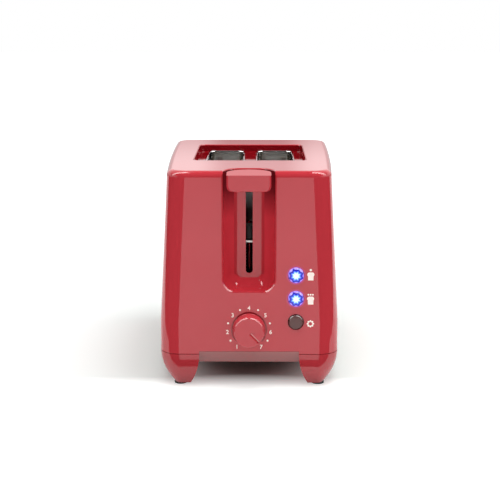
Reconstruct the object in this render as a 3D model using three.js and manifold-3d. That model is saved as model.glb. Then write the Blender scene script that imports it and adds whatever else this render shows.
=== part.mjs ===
// Two-slice toaster with a red moulded casing, seen from its narrow control end.
// Millimetres, +Z up, the control end faces -Y and +X is to the right of it.
import * as THREE from 'three';
import { mergeVertices } from 'three/addons/utils/BufferGeometryUtils.js';
import ManifoldModule from 'manifold-3d';

const wasm = await ManifoldModule();
wasm.setup();

// Allowances shared by every piece
const clearance = 0.3;
const runningGap = 0.5;
const overrun = 1;
const weldDistance = 1e-3;

// Casing, a drafted box that narrows towards the control end
const wall = 2.5;
const bodyLength = 270;
const topWidth = 152.4;
const sideDraft = 6.5;
const frontNarrowing = 7;
const cornerRadius = 18;
const topHeight = 188.2;
const topFillet = 5.5;
const seamHeight = 30.7;
const straightHeight = 26.5;
const mouldRadius = 1;

// Well in the top with the two bread slots in its floor
const wellWidth = 100.3;
const wellSetback = 80;
const wellRearSetback = 54;
const wellDepth = 7.5;
const wellCorner = 5;
const slotSpacing = 46.6;
const slotOpening = 33;
const slotEndMargin = 7;
const slotCorner = 5;

// Chrome collars round the bread slots
const trimRim = 1.9;
const trimRimHeight = 1.6;
const trimSheet = 0.6;
const trimSkirt = 14;
const trimCrownShares = [0.7, 0.3];

// Dished channel of the lever, open at the top
const channelWidth = 44;
const channelFloorWidth = 18.6;
const channelDepth = 22;
const channelBottom = 85.4;
const channelRise = 8;
const channelCorner = 11;
const channelFloorCornerShare = 0.2;
const leverSlotWidth = 6;
const leverSlotRise = 11.6;
const leverSlotDrop = 3;

// Base with four tapered feet and rubber pads
const footBottom = 2.1;
const footInset = 12;
const footWidth = 33;
const footTaper = 8;
const footCorner = 4;
const footSteps = 5;
const footInsetPower = 2;
const footTaperPower = 3;
const lipInset = 10;
const baseBottom = 21.5;
const rimThickness = 1.5;
const rimHeight = 3;
const padRadius = 5.5;
const padStubRadius = 2.5;
const padStubHeight = 4;
const padInset = 20;
const padSideInset = 22.9;

// Screws that hold the base to the posts in the casing
const screwRadius = 1.5;
const screwLength = 12;
const screwHeadRadius = 3;
const screwHeadHeight = 1.8;
const screwCrownShare = 0.7;
const screwBossRadius = 5;
const screwBossHeight = 3.5;
const screwSetback = 47;
const postRadius = 4;
const postHeight = 32;
const gussetThickness = 1.8;

// Browning dial
const dialHeight = 52.5;
const dialSkirtRadius = 14.2;
const dialRecessRadius = 15.1;
const dialRecessShare = 0.6;
const dialFaceRadius = 13.2;
const dialReach = 12.2;
const dialSkirtThickness = 2;
const dialEdgeRadius = 1.2;
const dialHubRadius = 5;
const dialRestAngle = 136;
const pointerLength = 11;
const pointerWidth = 1.4;
const pointerDepth = 0.8;
const pointerMargin = 1.3;
const shaftRadius = 3;
const shaftFlat = 1;
const shaftGrip = 8;

// Push buttons beside the dial
const buttonColumn = 39.9;
const buttonTopHeight = 99.6;
const buttonPitch = 20.3;
const buttonRadius = 6.4;
const buttonReach = 2.4;
const buttonTravel = 1.5;
const buttonDome = 0.9;
const buttonDomeShares = [
  [0.92, 0.4],
  [0.6, 0.1],
];
const buttonFlange = 1;
const buttonStemRadius = 1.5;
const collarThickness = 1.6;
const collarLength = 3;

// Control board behind the panel
const boardThickness = 1.6;
const boardLeft = 28;
const boardSideMargin = 17;
const boardTopMargin = 8;
const boardChannelGap = 3;
const potWidth = 17;
const potDepth = 9;
const switchWidth = 9;
const switchDepth = 4.3;
const boardPostWidth = 6;
const boardPostHeight = 8;

// Oven chassis of sheet metal
const sheet = 1;
const chassisDrop = 11;
const legWidth = 8;
const chamberBottom = 46;
const chamberDrop = 4;
const reflectorGap = 4;
const reflectorSheet = 0.6;
const reflectorFlange = 3;
const plateSetback = 3.4;

// Mica cards with flat wire in a meander
const cardThickness = 1;
const ribbonWidth = 1.6;
const ribbonThickness = 0.4;
const ribbonStrands = 14;
const ribbonMargin = 7;
const ribbonLowMargin = 10;
const ribbonHighMargin = 13;

// Wire guides that close on the bread
const cageWire = 0.9;
const cageSpread = 14;
const cageTravel = 5;
const cageDrop = 9;
const cageRise = 9;
const cageUprights = 7;
const cageMargin = 8;

// Carriage with the bread racks, sliding on an upright rod
const loweredHeight = 50;
const bracketSheet = 1.5;
const bracketDepth = 12;
const bracketTongueWidth = 17;
const rackSheet = 1.2;
const rackHeight = 8;
const rackFingers = 6;
const rackFingerWidth = 14;
const rackFingerDepth = 4;
const rackEndMargin = 3;
const rodRadius = 2;
const bushRadius = 4.5;
const bushLength = 12;
const lugSheet = 2;
const lugDepth = 9;
const webOffset = 10;
const webSheet = 1.5;
const springCoilRadius = 3;
const springWireRadius = 0.3;
const springTurns = 36;
const springSteps = 8;
const springSides = 5;

// Lever and its knob
const armRise = 49.4;
const armSheet = 1.5;
const armOffset = 7;
const armWidth = 9;
const armTongueWidth = 5;
const armTongueHeight = 8;
const armGrip = 9;
const knobWidth = 37;
const knobDrop = 1.5;
const knobHeight = 13.7;
const knobRise = 2.3;
const knobReach = 17;
const knobDepth = 23;
const knobStraight = 12;
const knobCorner = 4.5;
const knobFrontRadius = 2;

// Magnet that holds the carriage down
const keeperWidth = 14;
const keeperDepth = 9;
const keeperHeight = 3.5;
const coreLimb = 4;
const coilWall = 1.5;
const coilHeight = 8;
const powerBoardHeight = 30;
const powerBoardRight = 14;
const powerBoardMargin = 4;
const powerPostRadius = 3;

// Crumb tray with its handle in the rear wall
const trayLift = 0.6;
const trayWallHeight = 8;
const traySheet = 1;
const trayFrontGap = 3;
const railSheet = 2;
const handleHeight = 12;
const handleReach = 4;
const handleLip = 4;

// Cord gland in the rear wall
const glandHeight = 56;
const glandBore = 3.6;
const glandNeck = 5;
const glandFlange = 7;
const glandFlangeThickness = 1.6;

// Vents under the oven
const ventWidth = 3;
const ventLength = 30;
const ventPitch = 9;
const ventColumns = 9;
const ventRowOffset = 27;

// Facet counts
const cornerSteps = 6;
const smallCornerSteps = 3;
const sideSteps = 5;
const filletSteps = 3;
const dishSteps = 6;
const roundSides = 36;
const smallSides = 14;
const wireSides = 6;

// Places that several pieces share
const frontY = -bodyLength / 2;
const rearY = bodyLength / 2;
const filletStart = topHeight - topFillet;
const wellFloor = topHeight - wellDepth;
const wellLength = bodyLength - wellSetback - wellRearSetback;
const wellCentreY = frontY + wellSetback + wellLength / 2;
const slotLength = wellLength - 2 * slotEndMargin;
const chassisHalfWidth = slotSpacing + reflectorGap + reflectorFlange + clearance;
const trayHalfWidth = chassisHalfWidth - legWidth - 2 * runningGap;
const glandX = topWidth / 2 + sideDraft - cornerRadius - glandFlange - runningGap;
const baseFloor = baseBottom + wall;
const baseTop = seamHeight - clearance;
const panelInner = frontY + wall;
const channelInner = frontY + channelDepth + wall;
const rodY = channelInner + armSheet + 3 * runningGap + lugDepth / 2;
const flangeFront = panelInner + collarLength + clearance;
const switchFront = flangeFront + buttonFlange + buttonTravel + clearance;
const switchRear = switchFront + switchDepth;
const boardFront = switchRear + clearance;
const buttonStemLength = switchDepth - sheet;
const boardRight = buttonColumn + boardSideMargin;
const frontPlateY = wellCentreY - slotLength / 2 - plateSetback;
const rearPlateY = wellCentreY + slotLength / 2 + plateSetback - sheet;
const chassisTop = wellFloor - chassisDrop;
const chamberTop = chassisTop - chamberDrop;
const cageTop = chassisTop - cageDrop;
const cageBottom = chamberBottom + cageRise;
const plateTop = chassisTop - clearance;
const plateBottom = baseFloor + clearance;
const knobTop = topHeight - knobDrop;
const knobBottom = knobTop - knobHeight;
const bracketHeight = knobBottom - armRise;
const travel = bracketHeight - loweredHeight;
const leverSlotBottom = channelBottom + leverSlotRise;
const leverSlotTop = topHeight - leverSlotDrop;
const lugBottomZ = baseFloor + clearance;
const lugTopZ = bracketHeight + bracketSheet + clearance + bushLength + clearance;
const armTongueZ = knobBottom + (knobHeight - armTongueHeight) / 2;
const trayBottom = seamHeight + trayLift;
const trayFront = frontPlateY + sheet + trayFrontGap;
const trayRear = rearY - wall - clearance;
const buttonHeights = [0, 1, 2].map((row) => buttonTopHeight - row * buttonPitch);
const slotCentres = [-slotSpacing / 2, slotSpacing / 2];
const magnetX = -(slotSpacing + keeperWidth + rackSheet) / 2 - runningGap;
const magnetY = frontPlateY - runningGap - keeperDepth / 2 - clearance - coilWall;
const powerBoardLeft = magnetX - keeperWidth;
const powerFrontY = boardFront + boardThickness + 2 * wall;
const powerRearY = frontPlateY - powerBoardMargin;
const postX = chassisHalfWidth + screwBossRadius + runningGap;
const postPlaces = [-1, 1].flatMap((side) => [
  new THREE.Vector2(side * (postX - frontNarrowing), frontY + screwSetback),
  new THREE.Vector2(side * postX, rearY - screwSetback),
]);
const padX = topWidth / 2 + sideDraft - padSideInset;
const padPlaces = [-1, 1].flatMap((side) => [
  new THREE.Vector2(side * padX, frontY + padInset),
  new THREE.Vector2(side * padX, rearY - padInset),
]);

// Solids from geometries, and geometries from solids
function solidOf(geometry) {
  const bare = geometry.index ? geometry.toNonIndexed() : geometry.clone();
  bare.deleteAttribute('normal');
  bare.deleteAttribute('uv');
  const merged = mergeVertices(bare, weldDistance);
  const corners = merged.index.array;
  const kept = [];
  for (let i = 0; i < corners.length; i += 3) {
    const [a, b, c] = corners.slice(i, i + 3);
    if (a !== b && b !== c && c !== a) kept.push(a, b, c);
  }
  return new wasm.Manifold(
    new wasm.Mesh({
      numProp: 3,
      vertProperties: new Float32Array(merged.attributes.position.array),
      triVerts: new Uint32Array(kept),
    }),
  );
}

function geometryOf(solid) {
  const mesh = solid.getMesh();
  const geometry = new THREE.BufferGeometry();
  geometry.setAttribute('position', new THREE.BufferAttribute(mesh.vertProperties, mesh.numProp));
  geometry.setIndex(new THREE.BufferAttribute(mesh.triVerts, 1));
  const faceted = geometry.toNonIndexed();
  faceted.computeVertexNormals();
  return faceted;
}

function joined(solids) {
  return solids.reduce((all, next) => all.add(next));
}

function cutBy(solid, cutters) {
  return cutters.reduce((left, cutter) => left.subtract(cutter), solid);
}

// A box between two corners
function block(x0, x1, y0, y1, z0, z1) {
  const size = new THREE.Vector3(x1 - x0, y1 - y0, z1 - z0);
  const geometry = new THREE.BoxGeometry(size.x, size.y, size.z);
  geometry.translate((x0 + x1) / 2, (y0 + y1) / 2, (z0 + z1) / 2);
  return solidOf(geometry);
}

// A round bar between two points
function bar(start, end, radius, sides = smallSides) {
  const along = end.clone().sub(start);
  const geometry = new THREE.CylinderGeometry(radius, radius, along.length(), sides);
  const turn = new THREE.Quaternion().setFromUnitVectors(
    new THREE.Vector3(0, 1, 0),
    along.clone().normalize(),
  );
  geometry.applyQuaternion(turn);
  geometry.translate((start.x + end.x) / 2, (start.y + end.y) / 2, (start.z + end.z) / 2);
  return solidOf(geometry);
}

function uprightBar(x, y, z0, z1, radius, sides = smallSides) {
  return bar(new THREE.Vector3(x, y, z0), new THREE.Vector3(x, y, z1), radius, sides);
}

// A round bar along Y, from the front backwards
function levelBar(x, z, y0, y1, radius, sides = smallSides) {
  return bar(new THREE.Vector3(x, y0, z), new THREE.Vector3(x, y1, z), radius, sides);
}

// A closed surface through rings of equal point counts
function skin(rings, closedRound) {
  const count = rings[0].length;
  const index = [];
  const spans = closedRound ? rings.length : rings.length - 1;
  for (let i = 0; i < spans; i++) {
    for (let j = 0; j < count; j++) {
      const next = (j + 1) % count;
      const above = ((i + 1) % rings.length) * count;
      index.push(i * count + j, i * count + next, above + next);
      index.push(i * count + j, above + next, above + j);
    }
  }
  if (!closedRound) {
    const last = (rings.length - 1) * count;
    const foot = THREE.ShapeUtils.triangulateShape(rings[0], []);
    const head = THREE.ShapeUtils.triangulateShape(rings.at(-1), []);
    foot.forEach(([a, b, c]) => index.push(c, b, a));
    head.forEach(([a, b, c]) => index.push(last + a, last + b, last + c));
  }
  const geometry = new THREE.BufferGeometry();
  geometry.setAttribute(
    'position',
    new THREE.Float32BufferAttribute(rings.flat().flatMap((p) => p.toArray()), 3),
  );
  geometry.setIndex(index);
  return geometry;
}

// Rings lie in XY and are stacked along Z
function loft(rings) {
  return solidOf(skin(rings, false));
}

// Stacks of rings that lie upright and run from deep inside towards the viewer
function uprightLoft(rings) {
  return solidOf(skin(rings, false).rotateX(Math.PI / 2));
}

// Rounded rectangle, counter-clockwise from its front right corner
function roundedRing(halfWidth, halfLength, radius, corners = smallCornerSteps, steps = 1) {
  const points = [];
  const signs = [
    [1, -1],
    [1, 1],
    [-1, 1],
    [-1, -1],
  ];
  signs.forEach(([sx, sy], corner) => {
    const centreX = sx * (halfWidth - radius);
    const centreY = sy * (halfLength - radius);
    for (let i = 0; i <= corners; i++) {
      const angle = ((corner - 1 + i / corners) * Math.PI) / 2;
      points.push([centreX + radius * Math.cos(angle), centreY + radius * Math.sin(angle)]);
    }
    if (corner % 2 === 0) {
      for (let i = 1; i < steps; i++) {
        const share = i / steps;
        points.push([sx * halfWidth, centreY + share * (-sy * 2 * (halfLength - radius))]);
      }
    }
  });
  return points;
}

function ringAt(centreX, centreY, height, points) {
  return points.map(([x, y]) => new THREE.Vector3(centreX + x, centreY + y, height));
}

// Prism with rounded corners between two heights
function roundedPrism(centreX, centreY, halfWidth, halfLength, radius, z0, z1) {
  const outline = roundedRing(halfWidth, halfLength, radius);
  return loft([ringAt(centreX, centreY, z0, outline), ringAt(centreX, centreY, z1, outline)]);
}

// Plan outline of the casing at one height, drawn in by an inset
function casingHalfWidth(height) {
  const rise = (height - seamHeight - straightHeight) / (filletStart - seamHeight - straightHeight);
  return topWidth / 2 + sideDraft * (1 - Math.min(Math.max(rise, 0), 1));
}

function casingRing(height, inset) {
  const halfWidth = casingHalfWidth(height) - inset;
  const halfLength = bodyLength / 2 - inset;
  const radius = Math.max(cornerRadius - inset, mouldRadius);
  return roundedRing(halfWidth, halfLength, radius, cornerSteps, sideSteps).map(([x, y]) => {
    const share = (halfLength - y) / (2 * halfLength);
    const narrowed = x * (1 - (frontNarrowing / halfWidth) * share ** 2);
    return new THREE.Vector3(narrowed, y, height);
  });
}

// Body of the casing, grown inwards by an inset, with its top edges rounded
function casingForm(inset, bottom) {
  const radius = Math.max(topFillet - inset, mouldRadius);
  const rings = [casingRing(bottom, inset), casingRing(seamHeight + straightHeight, inset)];
  for (let i = 0; i <= filletSteps; i++) {
    const angle = ((i / filletSteps) * Math.PI) / 2;
    const height = topHeight - inset - radius * (1 - Math.sin(angle));
    rings.push(casingRing(height, inset + radius * (1 - Math.cos(angle))));
  }
  return loft(rings);
}

// Upright outline of the lever channel at one depth, grown by a margin
function channelRing(depthShare, level, margin) {
  const dish = Math.sqrt(1 - depthShare ** 2);
  const halfWidth = (channelFloorWidth + (channelWidth - channelFloorWidth) * dish) / 2 + margin;
  const bottom = channelBottom + channelRise * (1 - dish) - margin;
  const cornerShare = channelFloorCornerShare + (1 - channelFloorCornerShare) * dish;
  const radius = Math.min(channelCorner * cornerShare, halfWidth - mouldRadius);
  const top = topHeight + overrun;
  const points = [
    [halfWidth, top],
    [-halfWidth, top],
  ];
  for (let i = 0; i <= cornerSteps; i++) {
    const angle = Math.PI + ((i / cornerSteps) * Math.PI) / 2;
    points.push([
      -halfWidth + radius + radius * Math.cos(angle),
      bottom + radius + radius * Math.sin(angle),
    ]);
  }
  for (let i = 0; i <= cornerSteps; i++) {
    const angle = -Math.PI / 2 + ((i / cornerSteps) * Math.PI) / 2;
    points.push([
      halfWidth - radius + radius * Math.cos(angle),
      bottom + radius + radius * Math.sin(angle),
    ]);
  }
  return ringAt(0, 0, level, points);
}

function channelForm(margin) {
  const rings = [];
  for (let i = 0; i <= dishSteps; i++) {
    const angle = ((1 - i / dishSteps) * Math.PI) / 2;
    const depthShare = Math.sin(angle);
    const level = -frontY - depthShare * (channelDepth + margin);
    rings.push(channelRing(depthShare, level, margin));
  }
  rings.push(channelRing(0, -frontY + overrun, margin + (margin ? 0 : mouldRadius)));
  return uprightLoft(rings);
}

// Well form with its upper edge eased, grown by a margin
function wellForm(margin, top) {
  const halfWidth = wellWidth / 2 + margin;
  const halfLength = wellLength / 2 + margin;
  const ring = (height, ease) =>
    ringAt(
      0,
      wellCentreY,
      height,
      roundedRing(halfWidth + ease, halfLength + ease, wellCorner + margin + ease),
    );
  const rings = [ring(wellFloor - margin, 0), ring(topHeight - mouldRadius, 0)];
  if (!margin) rings.push(ring(topHeight, mouldRadius), ring(top, mouldRadius));
  return loft(rings);
}

function slotPrism(centreX, margin, z0, z1) {
  return roundedPrism(
    centreX,
    wellCentreY,
    slotOpening / 2 + margin,
    slotLength / 2 + margin,
    slotCorner + margin,
    z0,
    z1,
  );
}

// One-piece casing with well, lever channel, screw posts and button collars
function makeHousing() {
  const outer = casingForm(0, seamHeight);
  const inner = casingForm(wall, seamHeight - overrun);
  const postBottom = baseFloor + screwBossHeight + clearance;
  const gussetBottom = seamHeight + rimHeight + clearance;
  const posts = postPlaces.map(({ x, y }) =>
    uprightBar(x, y, postBottom, postBottom + postHeight, postRadius),
  );
  const gussets = postPlaces.map(({ x, y }) => {
    const wallX = Math.sign(x) * casingHalfWidth(gussetBottom);
    return block(
      Math.min(x, wallX),
      Math.max(x, wallX),
      y - gussetThickness / 2,
      y + gussetThickness / 2,
      gussetBottom,
      postBottom + postHeight,
    ).intersect(outer);
  });
  const collars = buttonHeights.map((z) =>
    levelBar(
      buttonColumn,
      z,
      frontY + wall / 2,
      panelInner + collarLength,
      buttonRadius + runningGap + collarThickness,
      roundSides,
    ),
  );
  const tub = channelForm(wall).intersect(outer);
  const wellTub = wellForm(wall, topHeight);
  const shell = joined([outer.subtract(inner), tub, wellTub, ...collars, ...posts, ...gussets]);
  const slotCuts = slotCentres.map((x) =>
    slotPrism(x, trimSheet + clearance, wellFloor - wall - overrun, wellFloor + overrun),
  );
  const bores = postPlaces.map(({ x, y }) =>
    uprightBar(
      x,
      y,
      postBottom - overrun,
      postBottom + screwLength,
      screwRadius + clearance,
    ),
  );
  const buttonHoles = buttonHeights.map((z) =>
    levelBar(
      buttonColumn,
      z,
      frontY - overrun,
      panelInner + collarLength + overrun,
      buttonRadius + runningGap,
      roundSides,
    ),
  );
  const leverSlot = joined([
    block(
      -leverSlotWidth / 2,
      leverSlotWidth / 2,
      frontY + channelDepth - overrun,
      channelInner + overrun,
      leverSlotBottom + leverSlotWidth / 2,
      leverSlotTop,
    ),
    levelBar(
      0,
      leverSlotBottom + leverSlotWidth / 2,
      frontY + channelDepth - overrun,
      channelInner + overrun,
      leverSlotWidth / 2,
    ),
  ]);
  const dialHole = levelBar(
    0,
    dialHeight,
    frontY - overrun,
    panelInner + overrun,
    dialHubRadius + runningGap,
    roundSides,
  );
  const dialRecess = levelBar(
    0,
    dialHeight,
    frontY - overrun,
    frontY + wall * dialRecessShare,
    dialRecessRadius,
    roundSides,
  );
  const glandHole = levelBar(
    glandX,
    glandHeight,
    rearY - wall - overrun,
    rearY + overrun,
    glandNeck + clearance,
    smallSides,
  );
  const trayNotch = block(
    -trayHalfWidth - runningGap,
    trayHalfWidth + runningGap,
    rearY - wall - overrun,
    rearY + overrun,
    seamHeight - overrun,
    trayBottom + handleHeight + runningGap,
  );
  return cutBy(shell, [
    channelForm(0),
    wellForm(0, topHeight + overrun),
    ...slotCuts,
    ...bores,
    ...buttonHoles,
    leverSlot,
    dialHole,
    dialRecess,
    glandHole,
    trayNotch,
  ]);
}

// Sloped edge of the base below the seam
function lipInsetAt(height) {
  return (lipInset * (baseTop - height)) / (baseTop - baseBottom);
}

// Foot outline grows inwards faster towards the ground
function footForms() {
  const rings = [];
  const wedgeRings = padPlaces.map(() => []);
  for (let i = 0; i <= footSteps; i++) {
    const height = footBottom + (i / footSteps) * (baseTop - footBottom);
    const drop = 1 - i / footSteps;
    rings.push(casingRing(height, footInset * drop ** footInsetPower));
    const half = footWidth - (footTaper * drop ** footTaperPower) / 2;
    const innerX = casingHalfWidth(seamHeight) - frontNarrowing - footWidth + footTaper * drop ** 2;
    const innerY = bodyLength / 2 - footWidth + footTaper * drop ** 2;
    padPlaces.forEach(({ x, y }, foot) => {
      const outline = roundedRing(half, half, footCorner);
      const centreX = Math.sign(x) * (innerX + half);
      const centreY = Math.sign(y) * (innerY + half);
      wedgeRings[foot].push(ringAt(centreX, centreY, height, outline));
    });
  }
  const envelope = loft(rings);
  return wedgeRings.map((stack) => loft(stack).intersect(envelope));
}

// Base moulding with feet, locating rim, rails, bosses and vents
function makeBase() {
  const dish = loft([casingRing(baseBottom, lipInset), casingRing(baseTop, 0)]);
  const hollow = loft([
    casingRing(baseFloor, lipInsetAt(baseFloor) + wall),
    casingRing(baseTop + overrun, wall + lipInsetAt(baseTop + overrun)),
  ]);
  const rimRing = (height, inset) => casingRing(height, wall + clearance + inset);
  const rimBottom = (baseFloor + baseTop) / 2;
  const rim = loft([rimRing(rimBottom, 0), rimRing(seamHeight + rimHeight, 0)]).subtract(
    loft([
      rimRing(rimBottom - overrun, rimThickness),
      rimRing(seamHeight + rimHeight + overrun, rimThickness),
    ]),
  );
  const bosses = postPlaces.map(({ x, y }) =>
    uprightBar(x, y, baseBottom, baseFloor + screwBossHeight, screwBossRadius),
  );
  const railX = trayHalfWidth - railSheet;
  const railTop = trayBottom - clearance;
  const rails = [-1, 1].map((side) =>
    block(
      side * railX - railSheet / 2,
      side * railX + railSheet / 2,
      trayFront,
      rearY - lipInset - wall,
      baseBottom + wall / 2,
      railTop,
    ),
  );
  const boardPosts = [-boardLeft + boardPostWidth, boardRight - 2 * boardPostWidth].map((x) =>
    block(
      x,
      x + boardPostWidth,
      boardFront - clearance - wall,
      boardFront + boardThickness + clearance + wall,
      baseBottom + wall / 2,
      baseFloor + boardPostHeight,
    ),
  );
  const powerPosts = powerPostPlaces().map(({ x, y }) =>
    uprightBar(x, y, baseBottom + wall / 2, powerBoardHeight - clearance, powerPostRadius),
  );
  const feet = footForms();
  const solid = joined([
    dish.subtract(hollow),
    rim,
    ...bosses,
    ...rails,
    ...boardPosts,
    ...powerPosts,
    ...feet,
  ]);
  const insideFeet = loft([
    casingRing(baseFloor, lipInsetAt(baseFloor) + wall + cornerRadius / 2),
    casingRing(seamHeight + overrun, lipInsetAt(baseFloor) + wall + cornerRadius / 2),
  ]);
  const keep = joined([...bosses, ...rails, ...boardPosts, ...powerPosts]);
  const boardGroove = block(
    -boardLeft - clearance,
    boardRight + clearance,
    boardFront - clearance,
    boardFront + boardThickness + clearance,
    baseFloor,
    Math.max(baseFloor + boardPostHeight, seamHeight + rimHeight) + overrun,
  );
  const screwHoles = postPlaces.flatMap(({ x, y }) => [
    uprightBar(
      x,
      y,
      baseBottom - overrun,
      baseFloor + screwBossHeight + overrun,
      screwRadius + clearance,
    ),
    uprightBar(
      x,
      y,
      baseBottom - overrun,
      baseFloor + screwBossHeight - wall,
      screwHeadRadius + runningGap,
    ),
  ]);
  const padHoles = padPlaces.map(({ x, y }) =>
    uprightBar(
      x,
      y,
      footBottom - overrun,
      footBottom + padStubHeight + clearance,
      padStubRadius + clearance,
    ),
  );
  const vents = [];
  for (const row of [-1, 1]) {
    for (let i = 0; i < ventColumns; i++) {
      const x = (i - (ventColumns - 1) / 2) * ventPitch;
      const y = wellCentreY + row * ventRowOffset;
      vents.push(
        block(
          x - ventWidth / 2,
          x + ventWidth / 2,
          y - ventLength / 2,
          y + ventLength / 2,
          baseBottom - overrun,
          baseFloor + overrun,
        ),
      );
    }
  }
  const trayGate = block(
    -trayHalfWidth - runningGap,
    trayHalfWidth + runningGap,
    rearY - cornerRadius,
    rearY + overrun,
    railTop,
    seamHeight + rimHeight + overrun,
  );
  return cutBy(solid.subtract(insideFeet.subtract(keep)), [
    boardGroove,
    ...screwHoles,
    ...padHoles,
    ...vents,
    trayGate,
  ]);
}

// Revolved solid about an upright line, profile from the axis outwards and up
function upright(profile, x, y, z, sides = smallSides) {
  const points = profile.map(([radius, height]) => new THREE.Vector2(radius, height));
  const geometry = new THREE.LatheGeometry(points, sides).rotateX(Math.PI / 2);
  return solidOf(geometry.translate(x, y, z));
}

// Revolved solid about a level line, with profile heights counted towards the viewer
function facing(profile, x, y, z, sides = roundSides) {
  const points = profile.map(([radius, height]) => new THREE.Vector2(radius, height));
  const geometry = new THREE.LatheGeometry(points, sides).rotateX(Math.PI);
  return solidOf(geometry.translate(x, y, z));
}

function makePad({ x, y }) {
  const discTop = footBottom - clearance;
  return upright(
    [
      [0, 0],
      [padRadius - clearance, 0],
      [padRadius, clearance],
      [padRadius, discTop],
      [padStubRadius, discTop],
      [padStubRadius, footBottom + padStubHeight],
      [0, footBottom + padStubHeight],
    ],
    x,
    y,
    0,
  );
}

function makeScrew({ x, y }) {
  const seat = baseFloor + screwBossHeight - wall - clearance;
  return upright(
    [
      [0, seat - screwHeadHeight],
      [screwHeadRadius * screwCrownShare, seat - screwHeadHeight],
      [screwHeadRadius, seat - screwHeadHeight / 2],
      [screwHeadRadius, seat],
      [screwRadius, seat],
      [screwRadius, seat + screwLength],
      [0, seat + screwLength],
    ],
    x,
    y,
    0,
  );
}

// Chrome collar, a rolled rim on the well floor with a skirt through the slot
function makeTrim(centreX) {
  const rimBase = wellFloor + clearance;
  const profile = [
    [trimSheet, wellFloor - trimSkirt],
    [trimSheet, rimBase],
    [trimRim, rimBase],
    [trimRim, rimBase + trimRimHeight / 2],
    ...trimCrownShares.map((share) => [trimRim * share, rimBase + trimRimHeight]),
    [0, rimBase + trimRimHeight / 2],
    [0, wellFloor - trimSkirt],
  ];
  const rings = profile.map(([out, height]) =>
    ringAt(
      centreX,
      wellCentreY,
      height,
      roundedRing(slotOpening / 2 + out, slotLength / 2 + out, slotCorner + out),
    ),
  );
  return solidOf(skin(rings, true));
}

// Sheet stamping that stands across the part, drawn in XZ
function standingSheet(shape, thickness, y) {
  const geometry = new THREE.ExtrudeGeometry(shape, { depth: thickness, bevelEnabled: false });
  return solidOf(geometry.rotateX(Math.PI / 2).translate(0, y + thickness, 0));
}

// Sheet or ribbon that stands along the part, drawn in YZ
function lengthwiseSheet(shape, thickness, x) {
  const geometry = new THREE.ExtrudeGeometry(shape, { depth: thickness, bevelEnabled: false });
  const basis = new THREE.Matrix4().makeBasis(
    new THREE.Vector3(0, 1, 0),
    new THREE.Vector3(0, 0, 1),
    new THREE.Vector3(1, 0, 0),
  );
  return solidOf(geometry.applyMatrix4(basis).translate(x, 0, 0));
}

function outline(points) {
  return new THREE.Shape(points.map(([x, y]) => new THREE.Vector2(x, y)));
}

// Cutter for an opening through a stamping at one depth
function windowIn(x0, x1, z0, z1, y) {
  return block(x0, x1, y - overrun, y + sheet + overrun, z0, z1);
}

// Rest places of the wire guides, and the way each moves inwards
const cages = slotCentres.flatMap((centre) =>
  [-1, 1].map((side) => ({ x: centre + side * cageSpread, way: -side })),
);

// End plate of the oven, a portal with slots for racks and guides
function makeEndPlate(y) {
  const gateTop = trayBottom + trayWallHeight + runningGap;
  const gateHalf = chassisHalfWidth - legWidth;
  const shape = outline([
    [gateHalf, plateBottom],
    [chassisHalfWidth, plateBottom],
    [chassisHalfWidth, plateTop],
    [-chassisHalfWidth, plateTop],
    [-chassisHalfWidth, plateBottom],
    [-gateHalf, plateBottom],
    [-gateHalf, gateTop],
    [gateHalf, gateTop],
  ]);
  const rackHalf = rackSheet / 2 + runningGap;
  const rackLow = bracketHeight - travel - rackHeight - runningGap;
  const rackHigh = bracketHeight + bracketSheet + runningGap;
  const rackWindows = slotCentres.map((x) =>
    windowIn(x - rackHalf, x + rackHalf, rackLow, rackHigh, y),
  );
  const half = cageWire + runningGap;
  const cageWindows = cages.flatMap(({ x, way }) => {
    const low = Math.min(x, x + way * cageTravel) - half;
    const high = Math.max(x, x + way * cageTravel) + half;
    return [cageBottom, cageTop].map((z) => windowIn(low, high, z - half, z + half, y));
  });
  return cutBy(standingSheet(shape, sheet, y), [...rackWindows, ...cageWindows]);
}

// Top sheet of the oven, open round both collars
function makeChassisTop() {
  const plate = block(
    -chassisHalfWidth,
    chassisHalfWidth,
    frontPlateY,
    rearPlateY + sheet,
    chassisTop,
    chassisTop + sheet,
  );
  const cuts = slotCentres.map((x) =>
    slotPrism(x, trimSheet + runningGap, chassisTop - overrun, chassisTop + sheet + overrun),
  );
  return cutBy(plate, cuts);
}

const cardFront = frontPlateY + sheet + clearance;
const cardRear = rearPlateY - clearance;

// Reflector with its upper and lower edges turned outwards
function makeReflector(side) {
  const face = slotSpacing + reflectorGap;
  const out = face + reflectorSheet;
  const flange = face + reflectorFlange;
  const shape = outline([
    [side * face, chamberBottom],
    [side * flange, chamberBottom],
    [side * flange, chamberBottom + reflectorSheet],
    [side * out, chamberBottom + reflectorSheet],
    [side * out, chamberTop - reflectorSheet],
    [side * flange, chamberTop - reflectorSheet],
    [side * flange, chamberTop],
    [side * face, chamberTop],
  ]);
  return standingSheet(shape, cardRear - cardFront, cardFront);
}

function makeCard(x) {
  return block(
    x - cardThickness / 2,
    x + cardThickness / 2,
    cardFront,
    cardRear,
    chamberBottom,
    chamberTop,
  );
}

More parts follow.
